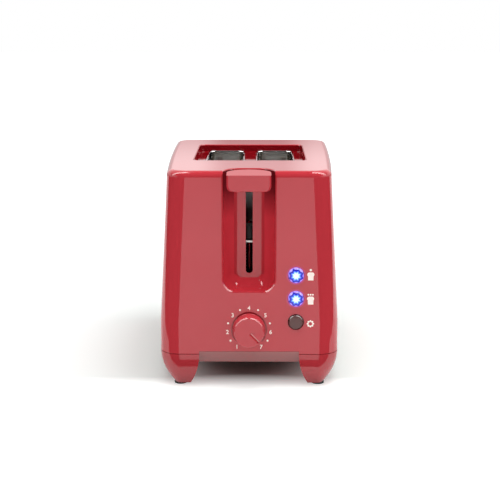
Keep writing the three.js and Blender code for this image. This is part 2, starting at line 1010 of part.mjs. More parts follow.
// Flat heating wire laid up and down a card in one meander
function makeRibbon(cardX, side) {
  const first = cardFront + ribbonMargin;
  const pitch = (cardRear - cardFront - 2 * ribbonMargin) / (ribbonStrands - 1);
  const low = chamberBottom + ribbonLowMargin;
  const high = chamberTop - ribbonHighMargin;
  const path = [];
  for (let i = 0; i < ribbonStrands; i++) {
    const ends = i % 2 ? [high, low] : [low, high];
    ends.forEach((z) => path.push(new THREE.Vector2(first + i * pitch, z)));
  }
  const normals = path.slice(1).map((p, i) => {
    const step = p.clone().sub(path[i]).normalize();
    return new THREE.Vector2(-step.y, step.x);
  });
  const edge = (way) =>
    path.map((p, i) => {
      const before = normals[Math.max(i - 1, 0)];
      const after = normals[Math.min(i, normals.length - 1)];
      const mitre = i === 0 || i === path.length - 1 ? after : before.clone().add(after);
      return p.clone().addScaledVector(mitre, (way * ribbonWidth) / 2);
    });
  const shape = new THREE.Shape([...edge(-1), ...edge(1).reverse()]);
  const gap = cardThickness / 2 + clearance;
  const start = side > 0 ? cardX + gap : cardX - gap - ribbonThickness;
  return lengthwiseSheet(shape, ribbonThickness, start);
}

// Wire guide, two rails through the end plates and uprights between them
function makeCage({ x }) {
  const railFront = frontPlateY - 2 * cageWire;
  const railRear = rearPlateY + sheet + 2 * cageWire;
  const wires = [cageBottom, cageTop].map((z) =>
    levelBar(x, z, railFront, railRear, cageWire, wireSides),
  );
  const first = frontPlateY + sheet + cageMargin;
  const last = rearPlateY - cageMargin;
  for (let i = 0; i < cageUprights; i++) {
    const y = first + ((last - first) * i) / (cageUprights - 1);
    wires.push(uprightBar(x, y, cageBottom, cageTop, cageWire, wireSides));
  }
  return joined(wires);
}

// Carriage, a T-shaped sheet that rides on the rod and carries both racks
function makeCarriageBracket() {
  const crossRear = frontPlateY - runningGap;
  const crossFront = crossRear - bracketDepth;
  const half = keeperWidth / 2 - magnetX + mouldRadius;
  const tongueHalf = bracketTongueWidth / 2;
  const tongueFront = channelInner + runningGap;
  const shape = outline([
    [-half, crossFront],
    [-tongueHalf, crossFront],
    [-tongueHalf, tongueFront],
    [tongueHalf, tongueFront],
    [tongueHalf, crossFront],
    [half, crossFront],
    [half, crossRear],
    [-half, crossRear],
  ]);
  const geometry = new THREE.ExtrudeGeometry(shape, { depth: bracketSheet, bevelEnabled: false });
  const plate = solidOf(geometry.translate(0, 0, bracketHeight));
  const rodHole = uprightBar(
    0,
    rodY,
    bracketHeight - overrun,
    bracketHeight + bracketSheet + overrun,
    rodRadius + runningGap,
  );
  return plate.subtract(rodHole);
}

function makeBush() {
  const low = bracketHeight + bracketSheet + clearance;
  const bore = rodRadius + clearance;
  return upright(
    [
      [bore, low],
      [bushRadius, low],
      [bushRadius, low + bushLength],
      [bore, low + bushLength],
      [bore, low],
    ],
    0,
    rodY,
    0,
  );
}

// Bread rack, an upright strip with fingers that carry the slice
function makeRack(x) {
  const top = bracketHeight - clearance;
  const front = frontPlateY - runningGap - bracketDepth + rackEndMargin;
  const rear = rearPlateY + sheet + rackEndMargin;
  const strip = block(x - rackSheet / 2, x + rackSheet / 2, front, rear, top - rackHeight, top);
  const first = cardFront + cageMargin;
  const last = cardRear - cageMargin - rackFingerDepth;
  const fingers = [];
  for (let i = 0; i < rackFingers; i++) {
    const y = first + ((last - first) * i) / (rackFingers - 1);
    fingers.push(
      block(
        x - rackFingerWidth / 2,
        x + rackFingerWidth / 2,
        y,
        y + rackFingerDepth,
        top - rackSheet,
        top,
      ),
    );
  }
  return joined([strip, ...fingers]);
}

// Bracket of the guide rod, a web with a lug at each end
function makeGuideBracket() {
  const lugRight = bushRadius;
  const shape = outline([
    [-webOffset - webSheet, lugBottomZ],
    [lugRight, lugBottomZ],
    [lugRight, lugBottomZ + lugSheet],
    [-webOffset, lugBottomZ + lugSheet],
    [-webOffset, lugTopZ],
    [lugRight, lugTopZ],
    [lugRight, lugTopZ + lugSheet],
    [-webOffset - webSheet, lugTopZ + lugSheet],
  ]);
  const bracket = standingSheet(shape, lugDepth, rodY - lugDepth / 2);
  const bore = uprightBar(
    0,
    rodY,
    lugBottomZ - overrun,
    lugTopZ + lugSheet + overrun,
    rodRadius + clearance,
  );
  return bracket.subtract(bore);
}

// Return spring round the rod, one unbroken wire with straight ends
function makeSpring() {
  const low = lugBottomZ + lugSheet + clearance;
  const high = bracketHeight - clearance;
  const straight = 2 * springWireRadius;
  const coilLow = low + straight;
  const coilHigh = high - straight;
  const steps = springTurns * springSteps;
  const centres = [{ angle: 0, z: low, rise: true }];
  for (let i = 0; i <= steps; i++) {
    const angle = (i / springSteps) * 2 * Math.PI;
    centres.push({ angle, z: coilLow + ((coilHigh - coilLow) * i) / steps, rise: false });
  }
  centres.push({ angle: (steps / springSteps) * 2 * Math.PI, z: high, rise: true });
  const rings = centres.map(({ angle, z, rise }) => {
    const radial = new THREE.Vector3(Math.cos(angle), Math.sin(angle), 0);
    const sideways = new THREE.Vector3(-Math.sin(angle), Math.cos(angle), 0);
    const along = rise ? new THREE.Vector3(0, 0, 1) : sideways.clone();
    const across = new THREE.Vector3().crossVectors(along, radial);
    const centre = radial.clone().multiplyScalar(springCoilRadius).setZ(z);
    const ring = [];
    for (let j = 0; j < springSides; j++) {
      const turn = (j / springSides) * 2 * Math.PI;
      ring.push(
        centre
          .clone()
          .addScaledVector(radial, springWireRadius * Math.cos(turn))
          .addScaledVector(across, springWireRadius * Math.sin(turn)),
      );
    }
    return ring;
  });
  const count = springSides;
  const index = [];
  for (let i = 0; i < rings.length - 1; i++) {
    for (let j = 0; j < count; j++) {
      const next = (j + 1) % count;
      index.push(i * count + j, i * count + next, (i + 1) * count + next);
      index.push(i * count + j, (i + 1) * count + next, (i + 1) * count + j);
    }
  }
  const last = (rings.length - 1) * count;
  for (let j = 1; j < count - 1; j++) {
    index.push(0, j + 1, j);
    index.push(last, last + j, last + j + 1);
  }
  const geometry = new THREE.BufferGeometry();
  const points = rings.flat();
  geometry.setAttribute(
    'position',
    new THREE.Float32BufferAttribute(points.flatMap((p) => p.toArray()), 3),
  );
  geometry.setIndex(index);
  const apart = (springSteps / 2) * count;
  let least = Infinity;
  points.forEach((p, i) => {
    for (let j = i + apart; j < points.length; j++) least = Math.min(least, p.distanceTo(points[j]));
  });
  console.log('return_spring least gap to itself ' + least.toFixed(2) + ' mm');
  return solidOf(geometry.translate(0, rodY, 0));
}

// Lever arm, a riser beside the rod, a joggle in front of it and a tongue
function makeLeverArm() {
  const low = bracketHeight + bracketSheet + clearance;
  const high = armTongueZ + armTongueHeight;
  const front = channelInner + runningGap;
  const riser = block(armOffset, armOffset + armSheet, front, front + armWidth, low, high);
  const joggle = block(
    -armTongueWidth / 2,
    armOffset + armSheet,
    front,
    front + armSheet,
    armTongueZ,
    high,
  );
  const tongue = block(
    -armTongueWidth / 2,
    armTongueWidth / 2,
    frontY - knobReach + knobDepth - armGrip,
    front + armSheet,
    armTongueZ,
    high,
  );
  const notch = block(
    armOffset - overrun,
    armOffset + armSheet + overrun,
    front - overrun,
    front + armSheet,
    low - overrun,
    armTongueZ,
  );
  return joined([riser.subtract(notch), joggle, tongue]);
}

// Plan outline of the lever knob, straight in front and arched behind
function knobRing(height, inset) {
  const half = knobWidth / 2 - inset;
  const front = frontY - knobReach;
  const straightEnd = front + knobStraight;
  const rear = front + knobDepth;
  const points = [];
  for (let i = 0; i <= filletSteps; i++) {
    const angle = -Math.PI / 2 + ((i / filletSteps) * Math.PI) / 2;
    points.push([
      half - knobFrontRadius + knobFrontRadius * Math.cos(angle),
      front + knobFrontRadius + knobFrontRadius * Math.sin(angle),
    ]);
  }
  const arch = 2 * cornerSteps;
  for (let i = 0; i <= arch; i++) {
    const angle = (i / arch) * Math.PI;
    points.push([half * Math.cos(angle), straightEnd + (rear - straightEnd) * Math.sin(angle)]);
  }
  for (let i = 0; i <= filletSteps; i++) {
    const angle = Math.PI + ((i / filletSteps) * Math.PI) / 2;
    points.push([
      -half + knobFrontRadius + knobFrontRadius * Math.cos(angle),
      front + knobFrontRadius + knobFrontRadius * Math.sin(angle),
    ]);
  }
  return ringAt(0, 0, height, points);
}

function makeLeverKnob() {
  const rings = [];
  for (let i = 0; i <= filletSteps; i++) {
    const angle = ((i / filletSteps) * Math.PI) / 2;
    const height = knobBottom + knobCorner * (1 - Math.cos(angle));
    rings.push(knobRing(height, knobCorner * (1 - Math.sin(angle))));
  }
  rings.push(knobRing(knobTop + knobRise + overrun, 0));
  const front = frontY - knobReach;
  const rear = front + knobDepth;
  const half = knobWidth / 2 + overrun;
  const lid = lengthwiseSheet(
    outline([
      [front - overrun, knobTop - (knobRise * overrun) / knobDepth],
      [rear + overrun, knobTop + knobRise + (knobRise * overrun) / knobDepth],
      [rear + overrun, knobTop + knobRise + knobHeight],
      [front - overrun, knobTop + knobRise + knobHeight],
    ]),
    2 * half,
    -half,
  );
  const socket = block(
    -armTongueWidth / 2 - clearance,
    armTongueWidth / 2 + clearance,
    rear - armGrip - clearance,
    rear + overrun,
    armTongueZ - clearance,
    armTongueZ + armTongueHeight + clearance,
  );
  return cutBy(loft(rings), [lid, socket]);
}

// Outline of the flatted shaft, grown by a margin
function shaftShape(margin) {
  const radius = shaftRadius + margin;
  const flat = shaftRadius - shaftFlat + margin;
  const start = Math.acos(flat / radius);
  const steps = smallSides;
  const points = [];
  for (let i = 0; i <= steps; i++) {
    const angle = start + (i / steps) * 2 * (Math.PI - start);
    points.push([radius * Math.cos(angle), radius * Math.sin(angle)]);
  }
  return outline(points);
}

const dialBack = frontY - clearance;
const dialFront = dialBack - dialReach;
const potFront = boardFront - clearance - potDepth;

function shaftPrism(margin, front, rear) {
  return standingSheet(shaftShape(margin), rear - front, front).translate([0, 0, dialHeight]);
}

// Browning dial with skirt, hub and an engraved pointer
function makeDial() {
  const skirtRear = dialBack - frontY + runningGap - wall * dialRecessShare;
  const profile = [
    [0, -wall],
    [dialHubRadius, -wall],
    [dialHubRadius, skirtRear],
    [dialSkirtRadius, skirtRear],
    [dialSkirtRadius, dialSkirtThickness],
    [dialFaceRadius + dialEdgeRadius, 2 * dialSkirtThickness],
  ];
  for (let i = 0; i <= filletSteps; i++) {
    const angle = ((i / filletSteps) * Math.PI) / 2;
    profile.push([
      dialFaceRadius - dialEdgeRadius * (1 - Math.cos(angle)),
      dialReach - dialEdgeRadius * (1 - Math.sin(angle)),
    ]);
  }
  profile.push([0, dialReach]);
  const knob = facing(profile, 0, dialBack, dialHeight);
  const outer = dialFaceRadius - pointerMargin;
  const groove = block(
    -pointerWidth / 2,
    pointerWidth / 2,
    dialFront - overrun,
    dialFront + pointerDepth,
    outer - pointerLength,
    outer,
  )
    .rotate([0, dialRestAngle, 0])
    .translate([0, 0, dialHeight]);
  const bore = shaftPrism(clearance, dialBack - shaftGrip - clearance, dialBack + wall + overrun);
  return cutBy(knob, [groove, bore]);
}

function makeDialShaft() {
  return shaftPrism(0, dialBack - shaftGrip, potFront + potDepth - wall);
}

function makePotentiometer() {
  const half = potWidth / 2;
  const body = block(
    -half,
    half,
    potFront,
    potFront + potDepth,
    dialHeight - half,
    dialHeight + half,
  );
  const bore = levelBar(
    0,
    dialHeight,
    potFront - overrun,
    potFront + potDepth - wall + clearance,
    shaftRadius + clearance,
  );
  return body.subtract(bore);
}

// Button cap with a domed face, a flange behind its collar and a stem
function makeButton(z) {
  const reach = buttonReach + flangeFront - frontY;
  const flangeRadius = buttonRadius + runningGap + collarThickness / 2;
  const profile = [
    [0, -buttonFlange - buttonStemLength],
    [buttonStemRadius, -buttonFlange - buttonStemLength],
    [buttonStemRadius, -buttonFlange],
    [flangeRadius, -buttonFlange],
    [flangeRadius, 0],
    [buttonRadius, 0],
    [buttonRadius, reach - buttonDome],
    ...buttonDomeShares.map(([out, drop]) => [buttonRadius * out, reach - buttonDome * drop]),
    [0, reach],
  ];
  return facing(profile, buttonColumn, flangeFront, z);
}

function makeSwitch(z) {
  const half = switchWidth / 2;
  const body = block(
    buttonColumn - half,
    buttonColumn + half,
    switchFront,
    switchRear,
    z - half,
    z + half,
  );
  const bore = levelBar(
    buttonColumn,
    z,
    switchFront - overrun,
    switchRear - sheet,
    buttonStemRadius + clearance,
  );
  return body.subtract(bore);
}

// Control board, low behind the dial and high behind the buttons
function makeControlBoard() {
  const bottom = baseFloor + clearance;
  const highTop = buttonTopHeight + boardTopMargin;
  const highLeft = channelWidth / 2 + wall + boardChannelGap;
  const lowTop = channelBottom - wall - boardChannelGap;
  return standingSheet(
    outline([
      [-boardLeft, bottom],
      [boardRight, bottom],
      [boardRight, highTop],
      [highLeft, highTop],
      [highLeft, lowTop],
      [-boardLeft, lowTop],
    ]),
    boardThickness,
    boardFront,
  );
}


function powerPostPlaces() {
  const inset = powerPostRadius + clearance;
  return [powerBoardLeft + inset, -powerBoardRight - inset].flatMap((x) =>
    [powerFrontY + inset, powerRearY - inset].map((y) => new THREE.Vector2(x, y)),
  );
}

function makePowerBoard() {
  return block(
    powerBoardLeft,
    -powerBoardRight,
    powerFrontY,
    powerRearY,
    powerBoardHeight,
    powerBoardHeight + boardThickness,
  );
}

const keeperTop = bracketHeight - clearance;
const poleTop = keeperTop - keeperHeight - travel - clearance;
const coreBottom = powerBoardHeight + boardThickness + clearance;

// Magnet core in the shape of an E standing on the power board
function makeMagnetCore() {
  const half = keeperWidth / 2;
  const web = coreBottom + coreLimb / 2;
  const limb = coreLimb / 2;
  const shape = outline([
    [-half, coreBottom],
    [half, coreBottom],
    [half, poleTop],
    [half - limb, poleTop],
    [half - limb, web],
    [limb, web],
    [limb, poleTop],
    [-limb, poleTop],
    [-limb, web],
    [-half + limb, web],
    [-half + limb, poleTop],
    [-half, poleTop],
  ]);
  return standingSheet(shape, keeperDepth, magnetY - keeperDepth / 2).translate([magnetX, 0, 0]);
}

// Coil on the middle limb of the core
function makeMagnetCoil() {
  const inner = coreLimb / 2 + clearance;
  const outer = keeperWidth / 2 - coreLimb / 2 - clearance;
  const deepInner = keeperDepth / 2 + clearance;
  const low = coreBottom + coreLimb / 2 + clearance;
  const high = Math.min(low + coilHeight, poleTop - clearance);
  const ring = block(
    magnetX - outer,
    magnetX + outer,
    magnetY - deepInner - coilWall,
    magnetY + deepInner + coilWall,
    low,
    high,
  );
  return ring.subtract(
    block(
      magnetX - inner,
      magnetX + inner,
      magnetY - deepInner,
      magnetY + deepInner,
      low - overrun,
      high + overrun,
    ),
  );
}

function makeKeeper() {
  return block(
    magnetX - keeperWidth / 2,
    magnetX + keeperWidth / 2,
    magnetY - keeperDepth / 2,
    magnetY + keeperDepth / 2,
    keeperTop - keeperHeight,
    keeperTop,
  );
}

// Crumb tray, an open pan that slides out to the rear
function makeTray() {
  const pan = block(
    -trayHalfWidth,
    trayHalfWidth,
    trayFront,
    trayRear - wall,
    trayBottom,
    trayBottom + trayWallHeight,
  );
  return pan.subtract(
    block(
      -trayHalfWidth + traySheet,
      trayHalfWidth - traySheet,
      trayFront + traySheet,
      trayRear - wall - traySheet,
      trayBottom + traySheet,
      trayBottom + trayWallHeight + overrun,
    ),
  );
}

// Tray handle, flush with the rear wall, with a ridge to pull
function makeTrayHandle() {
  const front = trayRear - wall + clearance;
  const low = trayBottom;
  const high = trayBottom + handleHeight;
  const shape = outline([
    [front, low],
    [rearY, low],
    [rearY, high - handleLip],
    [rearY + handleReach, high - handleLip + mouldRadius],
    [rearY + handleReach, high - mouldRadius],
    [rearY + handleReach - mouldRadius, high],
    [front, high],
  ]);
  return lengthwiseSheet(shape, 2 * trayHalfWidth, -trayHalfWidth);
}

// Round gland, a bushing whose two flanges hold the rear wall
function makeGland() {
  const inside = wall + clearance;
  const profile = [
    [glandBore, -glandFlangeThickness - clearance],
    [glandFlange - mouldRadius, -glandFlangeThickness - clearance],
    [glandFlange, -glandFlangeThickness + mouldRadius - clearance],
    [glandFlange, -clearance],
    [glandNeck, -clearance],
    [glandNeck, inside],
    [glandFlange, inside],
    [glandFlange, inside + glandFlangeThickness],
    [glandBore, inside + glandFlangeThickness],
    [glandBore, -glandFlangeThickness - clearance],
  ];
  return facing(profile, glandX, rearY, glandHeight, smallSides);
}

// Finishes
const finish = (color, roughness, metalness) => ({ color, roughness, metalness });
const redPlastic = finish(0xb32a36, 0.18, 0);
const blackRubber = finish(0x1b1a1a, 0.85, 0);
const darkPlastic = finish(0x2b2827, 0.5, 0);
const smokedPlastic = finish(0x5c3633, 0.3, 0);
const litPlastic = finish(0x6f8cff, 0.25, 0);
const chrome = finish(0xd8d8da, 0.15, 1);
const steel = finish(0xa9a8a4, 0.4, 1);
const springSteel = finish(0x8f8d88, 0.35, 1);
const mica = finish(0xb9a888, 0.8, 0);
const heatingWire = finish(0x6a6460, 0.55, 1);
const boardResin = finish(0x9c7a3c, 0.7, 0);
const copper = finish(0xa65a33, 0.4, 1);

const group = new THREE.Group();
group.position.y = (knobReach - handleReach) / 2;

function add(name, solid, { color, roughness, metalness }) {
  const material = new THREE.MeshStandardMaterial({ color, roughness, metalness });
  const mesh = new THREE.Mesh(geometryOf(solid), material);
  mesh.name = name;
  group.add(mesh);
}

const cornerNames = ['front_left', 'rear_left', 'front_right', 'rear_right'];
const sideNames = ['left', 'right'];

add('housing', makeHousing(), redPlastic);
add('base', makeBase(), redPlastic);
padPlaces.forEach((place, i) => add('foot_pad_' + cornerNames[i], makePad(place), blackRubber));
postPlaces.forEach((place, i) => add('base_screw_' + cornerNames[i], makeScrew(place), steel));
add('cord_gland', makeGland(), darkPlastic);
slotCentres.forEach((x, i) => add('slot_trim_' + sideNames[i], makeTrim(x), chrome));

add('oven_front_plate', makeEndPlate(frontPlateY), steel);
add('oven_rear_plate', makeEndPlate(rearPlateY), steel);
add('oven_top_plate', makeChassisTop(), steel);
[-1, 1].forEach((side, i) => add('reflector_' + sideNames[i], makeReflector(side), steel));
add('heater_card_centre', makeCard(0), mica);
add('heater_wire_centre_left', makeRibbon(0, -1), heatingWire);
add('heater_wire_centre_right', makeRibbon(0, 1), heatingWire);
[-1, 1].forEach((side, i) => {
  add('heater_card_' + sideNames[i], makeCard(side * slotSpacing), mica);
  add('heater_wire_' + sideNames[i], makeRibbon(side * slotSpacing, -side), heatingWire);
});

add('guide_bracket', makeGuideBracket(), steel);
add('guide_rod', uprightBar(0, rodY, lugBottomZ, lugTopZ + 2 * lugSheet, rodRadius), chrome);
add('return_spring', makeSpring(), springSteel);
add('carriage_bracket', makeCarriageBracket(), steel);
add('guide_bush', makeBush(), darkPlastic);
add('keeper', makeKeeper(), steel);
add('lever_arm', makeLeverArm(), steel);
add('lever_knob', makeLeverKnob(), redPlastic);
slotCentres.forEach((x, i) => add('bread_rack_' + sideNames[i], makeRack(x), steel));
const cageNames = ['left_outer', 'left_inner', 'right_inner', 'right_outer'];
cages.forEach((cage, i) => add('bread_guide_' + cageNames[i], makeCage(cage), steel));

add('control_board', makeControlBoard(), boardResin);
add('potentiometer', makePotentiometer(), darkPlastic);
add('dial_shaft', makeDialShaft(), darkPlastic);
add('browning_dial', makeDial(), redPlastic);
const buttonNames = ['upper', 'middle', 'lower'];
const buttonFinishes = [litPlastic, litPlastic, smokedPlastic];
buttonHeights.forEach((z, i) => {
  add('button_' + buttonNames[i], makeButton(z), buttonFinishes[i]);
  add('switch_' + buttonNames[i], makeSwitch(z), darkPlastic);
});
add('power_board', makePowerBoard(), boardResin);
add('magnet_core', makeMagnetCore(), steel);
add('magnet_coil', makeMagnetCoil(), copper);
add('crumb_tray', makeTray(), steel);
add('tray_handle', makeTrayHandle(), redPlastic);

export default group;
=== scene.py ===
import math

import bmesh
import bpy
from mathutils import Matrix, Vector


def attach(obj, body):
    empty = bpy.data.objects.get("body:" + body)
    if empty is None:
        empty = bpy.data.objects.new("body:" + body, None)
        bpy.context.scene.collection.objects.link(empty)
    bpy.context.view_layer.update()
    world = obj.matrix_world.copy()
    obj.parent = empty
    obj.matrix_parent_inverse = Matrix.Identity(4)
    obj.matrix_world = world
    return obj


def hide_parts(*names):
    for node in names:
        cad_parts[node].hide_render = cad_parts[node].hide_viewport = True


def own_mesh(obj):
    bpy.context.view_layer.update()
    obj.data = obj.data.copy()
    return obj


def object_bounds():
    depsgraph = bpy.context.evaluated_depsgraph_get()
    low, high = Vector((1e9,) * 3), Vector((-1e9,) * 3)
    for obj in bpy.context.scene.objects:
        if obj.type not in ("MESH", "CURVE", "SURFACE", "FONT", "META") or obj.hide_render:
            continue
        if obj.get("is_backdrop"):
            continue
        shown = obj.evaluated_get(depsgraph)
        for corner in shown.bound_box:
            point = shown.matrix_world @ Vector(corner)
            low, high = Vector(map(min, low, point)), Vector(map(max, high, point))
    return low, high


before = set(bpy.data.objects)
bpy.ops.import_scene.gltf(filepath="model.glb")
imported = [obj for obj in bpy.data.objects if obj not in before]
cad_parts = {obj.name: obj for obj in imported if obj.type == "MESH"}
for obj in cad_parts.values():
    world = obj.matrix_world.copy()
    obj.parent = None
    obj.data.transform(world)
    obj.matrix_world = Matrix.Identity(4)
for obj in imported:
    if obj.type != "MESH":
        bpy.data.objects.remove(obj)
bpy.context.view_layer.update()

MM = 0.001
CASING_SHIFT = 6.5
SIDES = ((-1, "left"), (1, "right"))

# Casing
WALL = 2.5
BODY_LENGTH = 270
TOP_WIDTH = 152.4
SIDE_DRAFT = 6.5
FRONT_NARROWING = 7
CORNER_RADIUS = 18
TOP_HEIGHT = 188.2
TOP_FILLET = 5.5
SEAM_HEIGHT = 30.7
STRAIGHT_HEIGHT = 26.5
SEAM_STEP = 2.5
SEAM_ROUND = 0.5
FRONT = -BODY_LENGTH / 2
REAR = BODY_LENGTH / 2

# Cutters reach past the faces that they cut, and keep a hair away from faces that they would share.
FAR_OUT = 200
OVERCUT = 1
HAIR = 0.02

# Well and slots
WELL_WIDTH = 100.3
WELL_LENGTH = 136
WELL_CENTRE = FRONT + 80 + WELL_LENGTH / 2
WELL_FLOOR = 180.7
WELL_CORNER = 5
WELL_FOOT = 1.5
WELL_FLARE = 1.2
SLOT_SPACING = 46.6
SLOT_OPENING = 33
SLOT_LENGTH = 122
SLOT_CORNER = 5
SLOT_CUT = 0.9
COLLAR_DROP = 14
COLLAR_INNER = 0.6
COLLAR_OUTER = 1.9
COLLAR_RIM = WELL_FLOOR + 0.3
BEAD_HEIGHT = 0.65

# Lever channel. A straight facet slopes down from its floor to its front edge.
CHANNEL_WIDTH = 44
CHANNEL_FLOOR_WIDTH = 18.6
CHANNEL_DEPTH = 22
CHANNEL_BOTTOM = 85.4
CHANNEL_RISE = 8
CHANNEL_CORNER = 11
FLOOR_CORNER_SHARE = 0.35
CHANNEL_FLARE = 1.1
FLARE_SLOPE = 1.07
FACET_SHARE = 0.71
FACET_SLOPE = 0.9
FACET_FOOT = 2.26
LEVER_SLOT_WIDTH = 6
LEVER_SLOT_BOTTOM = 97
LEVER_SLOT_TOP = 185.2

# Lever knob
KNOB_WIDTH = 37
KNOB_BOTTOM = 173
KNOB_HEIGHT = 13.7
KNOB_RISE = 2.3
KNOB_REACH = 17
KNOB_DEPTH = 23
KNOB_STRAIGHT = 12
KNOB_CORNER = 4.5
KNOB_BEVEL = 1.5
KNOB_TALL = 30
SOCKET_HALF_WIDTH = 2.8
SOCKET_REACH = 9.3
SOCKET_BOTTOM = 175.5
SOCKET_TOP = 184.2

# Return spring
SPRING_PLACE = -96.5
SPRING_FOOT = 26.6
SPRING_TOP = 123.3
SPRING_RADIUS = 3
SPRING_WIRE = 0.3
SPRING_TURNS = 36
SPRING_END_TURNS = 1.3
TURN_STEPS = 20

# Dial and buttons
DIAL_HEIGHT = 52.5
DIAL_SKIRT = 14.2
DIAL_RECESS = 15.1
DIAL_RECESS_DEPTH = 1.9
DIAL_FACE = 12.9
DIAL_REACH = 12.2
DIAL_HUB = 5
SKIRT_BACK = -1.3
SKIRT_FRONT = 1.4
SKIRT_BEVEL = 0.3
SKIRT_ROUND = 0.5
FACE_BEVEL = 0.8
FACE_DROP = 0.95
DIAL_BACK = FRONT - 0.3
POINTER_ANGLE = math.radians(136)
POINTER_START = 1.5
POINTER_HALF_WIDTH = 1.6
POINTER_DEPTH = 1.4
POINTER_ROOT = 0.05
BUTTON_X = 39.9
BUTTON_HEIGHTS = (99.6, 79.3, 59)
BUTTON_RADIUS = 6.4
BUTTON_REACH = 2.4
BUTTON_SEAT = FRONT + WALL + 3.3
FLANGE_RADIUS = 7.7
FLANGE_BACK = -1
STEM_RADIUS = 1.5
STEM_END = -4.3
CAP_EDGE = 0.9
CAP_SIDE_DROP = 1.4
CAP_EDGE_DROP = 0.35
CROWN_RADIUS = 3
CROWN_DROP = 0.08
PLAY = 0.5
LAMP_PETALS = 8
LAMP_SWING = 0.08
HALO_REACH = 1.35
HALO_LEVEL = 0.2

# Prints
PRINT_PLANE = FRONT - 0.06
PRINT_SIZE = 5.0
PRINT_BOLDNESS = 0.06
PRINT_DEPTH = 0.04
DOT_RADIUS = 0.85
PETAL_RING = 2.3
NUMBER_RING = 18.6
NUMBER_STEP = math.radians(48.75)
SIGN_X = 52.3
TOAST_DROP = 0.9
TOAST_MARK_RISE = 4.6
DEFROST_DROP = 1.5
DEFROST_MARK_RISE = 3.6
DEFROST_MARK_STEP = 1.9
CANCEL_DROP = 1.4
INK = 0.05

# Base
BASE_BOTTOM = 21.5
BASE_TOP = 30.4
FOOT_BOTTOM = 2.1
FOOT_INSET = 12
FOOT_WIDTH = 33
FOOT_TAPER = 8
FOOT_CORNER = 4
LIP_INSET = 10
LIP_HALF_WIDTH = 43
LIP_DEPTH = 12
LIP_TOP = SEAM_HEIGHT + SEAM_STEP - 0.15
PAD_RADIUS = 5.5
PAD_HEIGHT = 1.8
PAD_PLACES = ((-59.8, -115), (-59.8, 115), (59.8, -115), (59.8, 115))

# Rear: crumb tray and cord gland
TRAY_HALF_WIDTH = 45.4
TRAY_TOP = 43.8
TRAY_GAP_DEPTH = 11.5
GLAND_X = 57.2
GLAND_HEIGHT = 56
GLAND_HOLE = 5.3
GLAND_BORE = 3.6
GLAND_NECK = 5.0
GLAND_FLANGE = 7.0
GLAND_BACK = 2.2
GLAND_INNER = 4.4

# Wire guides beside the bread
GUIDE_AWAY = 14
GUIDE_Y = 19.5
GUIDE_Z = 107.85
GUIDE_WIRE = 0.9
GUIDE_HEIGHT = 105.7
GUIDE_ROW = 113.4
GUIDE_RAIL = 132.4
GUIDE_UPRIGHTS = 7


# Meshes
def mesh_piece(name, points, faces):
    mesh = bpy.data.meshes.new(name)
    mesh.from_pydata(
        [(x * MM, (y + CASING_SHIFT) * MM, z * MM) for x, y, z in points], [], faces
    )
    mesh.update()
    piece = bpy.data.objects.new(name, mesh)
    bpy.context.scene.collection.objects.link(piece)
    return piece


def face_outwards(piece):
    shell = bmesh.new()
    shell.from_mesh(piece.data)
    bmesh.ops.remove_doubles(shell, verts=shell.verts, dist=1e-7)
    bmesh.ops.recalc_face_normals(shell, faces=shell.faces)
    if shell.calc_volume(signed=True) < 0:
        bmesh.ops.reverse_faces(shell, faces=shell.faces)
    shell.to_mesh(piece.data)
    shell.free()
    piece.data.update()
    return piece


def loft(name, rings, closed=False):
    """A skin over rings of equal point counts, capped at both ends unless it closes on itself."""
    count = len(rings[0])
    points = [point for ring in rings for point in ring]
    faces = []
    spans = len(rings) if closed else len(rings) - 1
    for i in range(spans):
        above = ((i + 1) % len(rings)) * count
        for j in range(count):
            after = (j + 1) % count
            faces.append((i * count + j, i * count + after, above + after, above + j))
    if not closed:
        last = (len(rings) - 1) * count
        faces.append(tuple(reversed(range(count))))
        faces.append(tuple(range(last, last + count)))
    return face_outwards(mesh_piece(name, points, faces))


def lathe(name, profile, centre, sides=72, axis="front"):
    """A turned piece. The profile holds (radius, distance along the axis) from pole to pole."""
    cx, cy, cz = centre
    rings = []
    points = []
    for radius, along in profile:
        ring = []
        turns = 1 if radius == 0 else sides
        for i in range(turns):
            angle = 2 * math.pi * i / sides
            a, b = radius * math.cos(angle), radius * math.sin(angle)
            if axis == "front":
                point = (cx + a, cy - along, cz + b)
            else:
                point = (cx + a, cy + b, cz + along)
            ring.append(len(points))
            points.append(point)
        rings.append(ring)
    faces = []
    for low, high in zip(rings, rings[1:]):
        for i in range(sides):
            j = (i + 1) % sides
            corners = [low[i % len(low)], low[j % len(low)], high[j % len(high)], high[i % len(high)]]
            corners = list(dict.fromkeys(corners))  # a pole gives a triangle
            if len(corners) > 2:
                faces.append(corners)
    for ring, flip in ((rings[0], True), (rings[-1], False)):
        if len(ring) > 1 and profile[0] != profile[-1]:
            faces.append(tuple(reversed(ring)) if flip else tuple(ring))
    return face_outwards(mesh_piece(name, points, faces))


def box(name, low, high):
    (x0, y0, z0), (x1, y1, z1) = low, high
    ring = [(x0, y0), (x1, y0), (x1, y1), (x0, y1)]
    return loft(name, [[(x, y, z) for x, y in ring] for z in (z0, z1)])


def bake(piece):
    """Turns the piece's modifiers into its mesh."""
    depsgraph = bpy.context.evaluated_depsgraph_get()
    depsgraph.update()
    mesh = bpy.data.meshes.new_from_object(piece.evaluated_get(depsgraph))
    piece.modifiers.clear()
    piece.data = mesh
    return piece


def combine(piece, tools, operation="DIFFERENCE"):
    """Cuts the tools from the piece, or fuses them with it, one after the other."""
    for tool in tools:
        step = piece.modifiers.new("step", "BOOLEAN")
        step.object = tool
        step.operation = operation
        step.solver = "MANIFOLD"
        bake(piece)
        bpy.data.objects.remove(tool)
    return piece


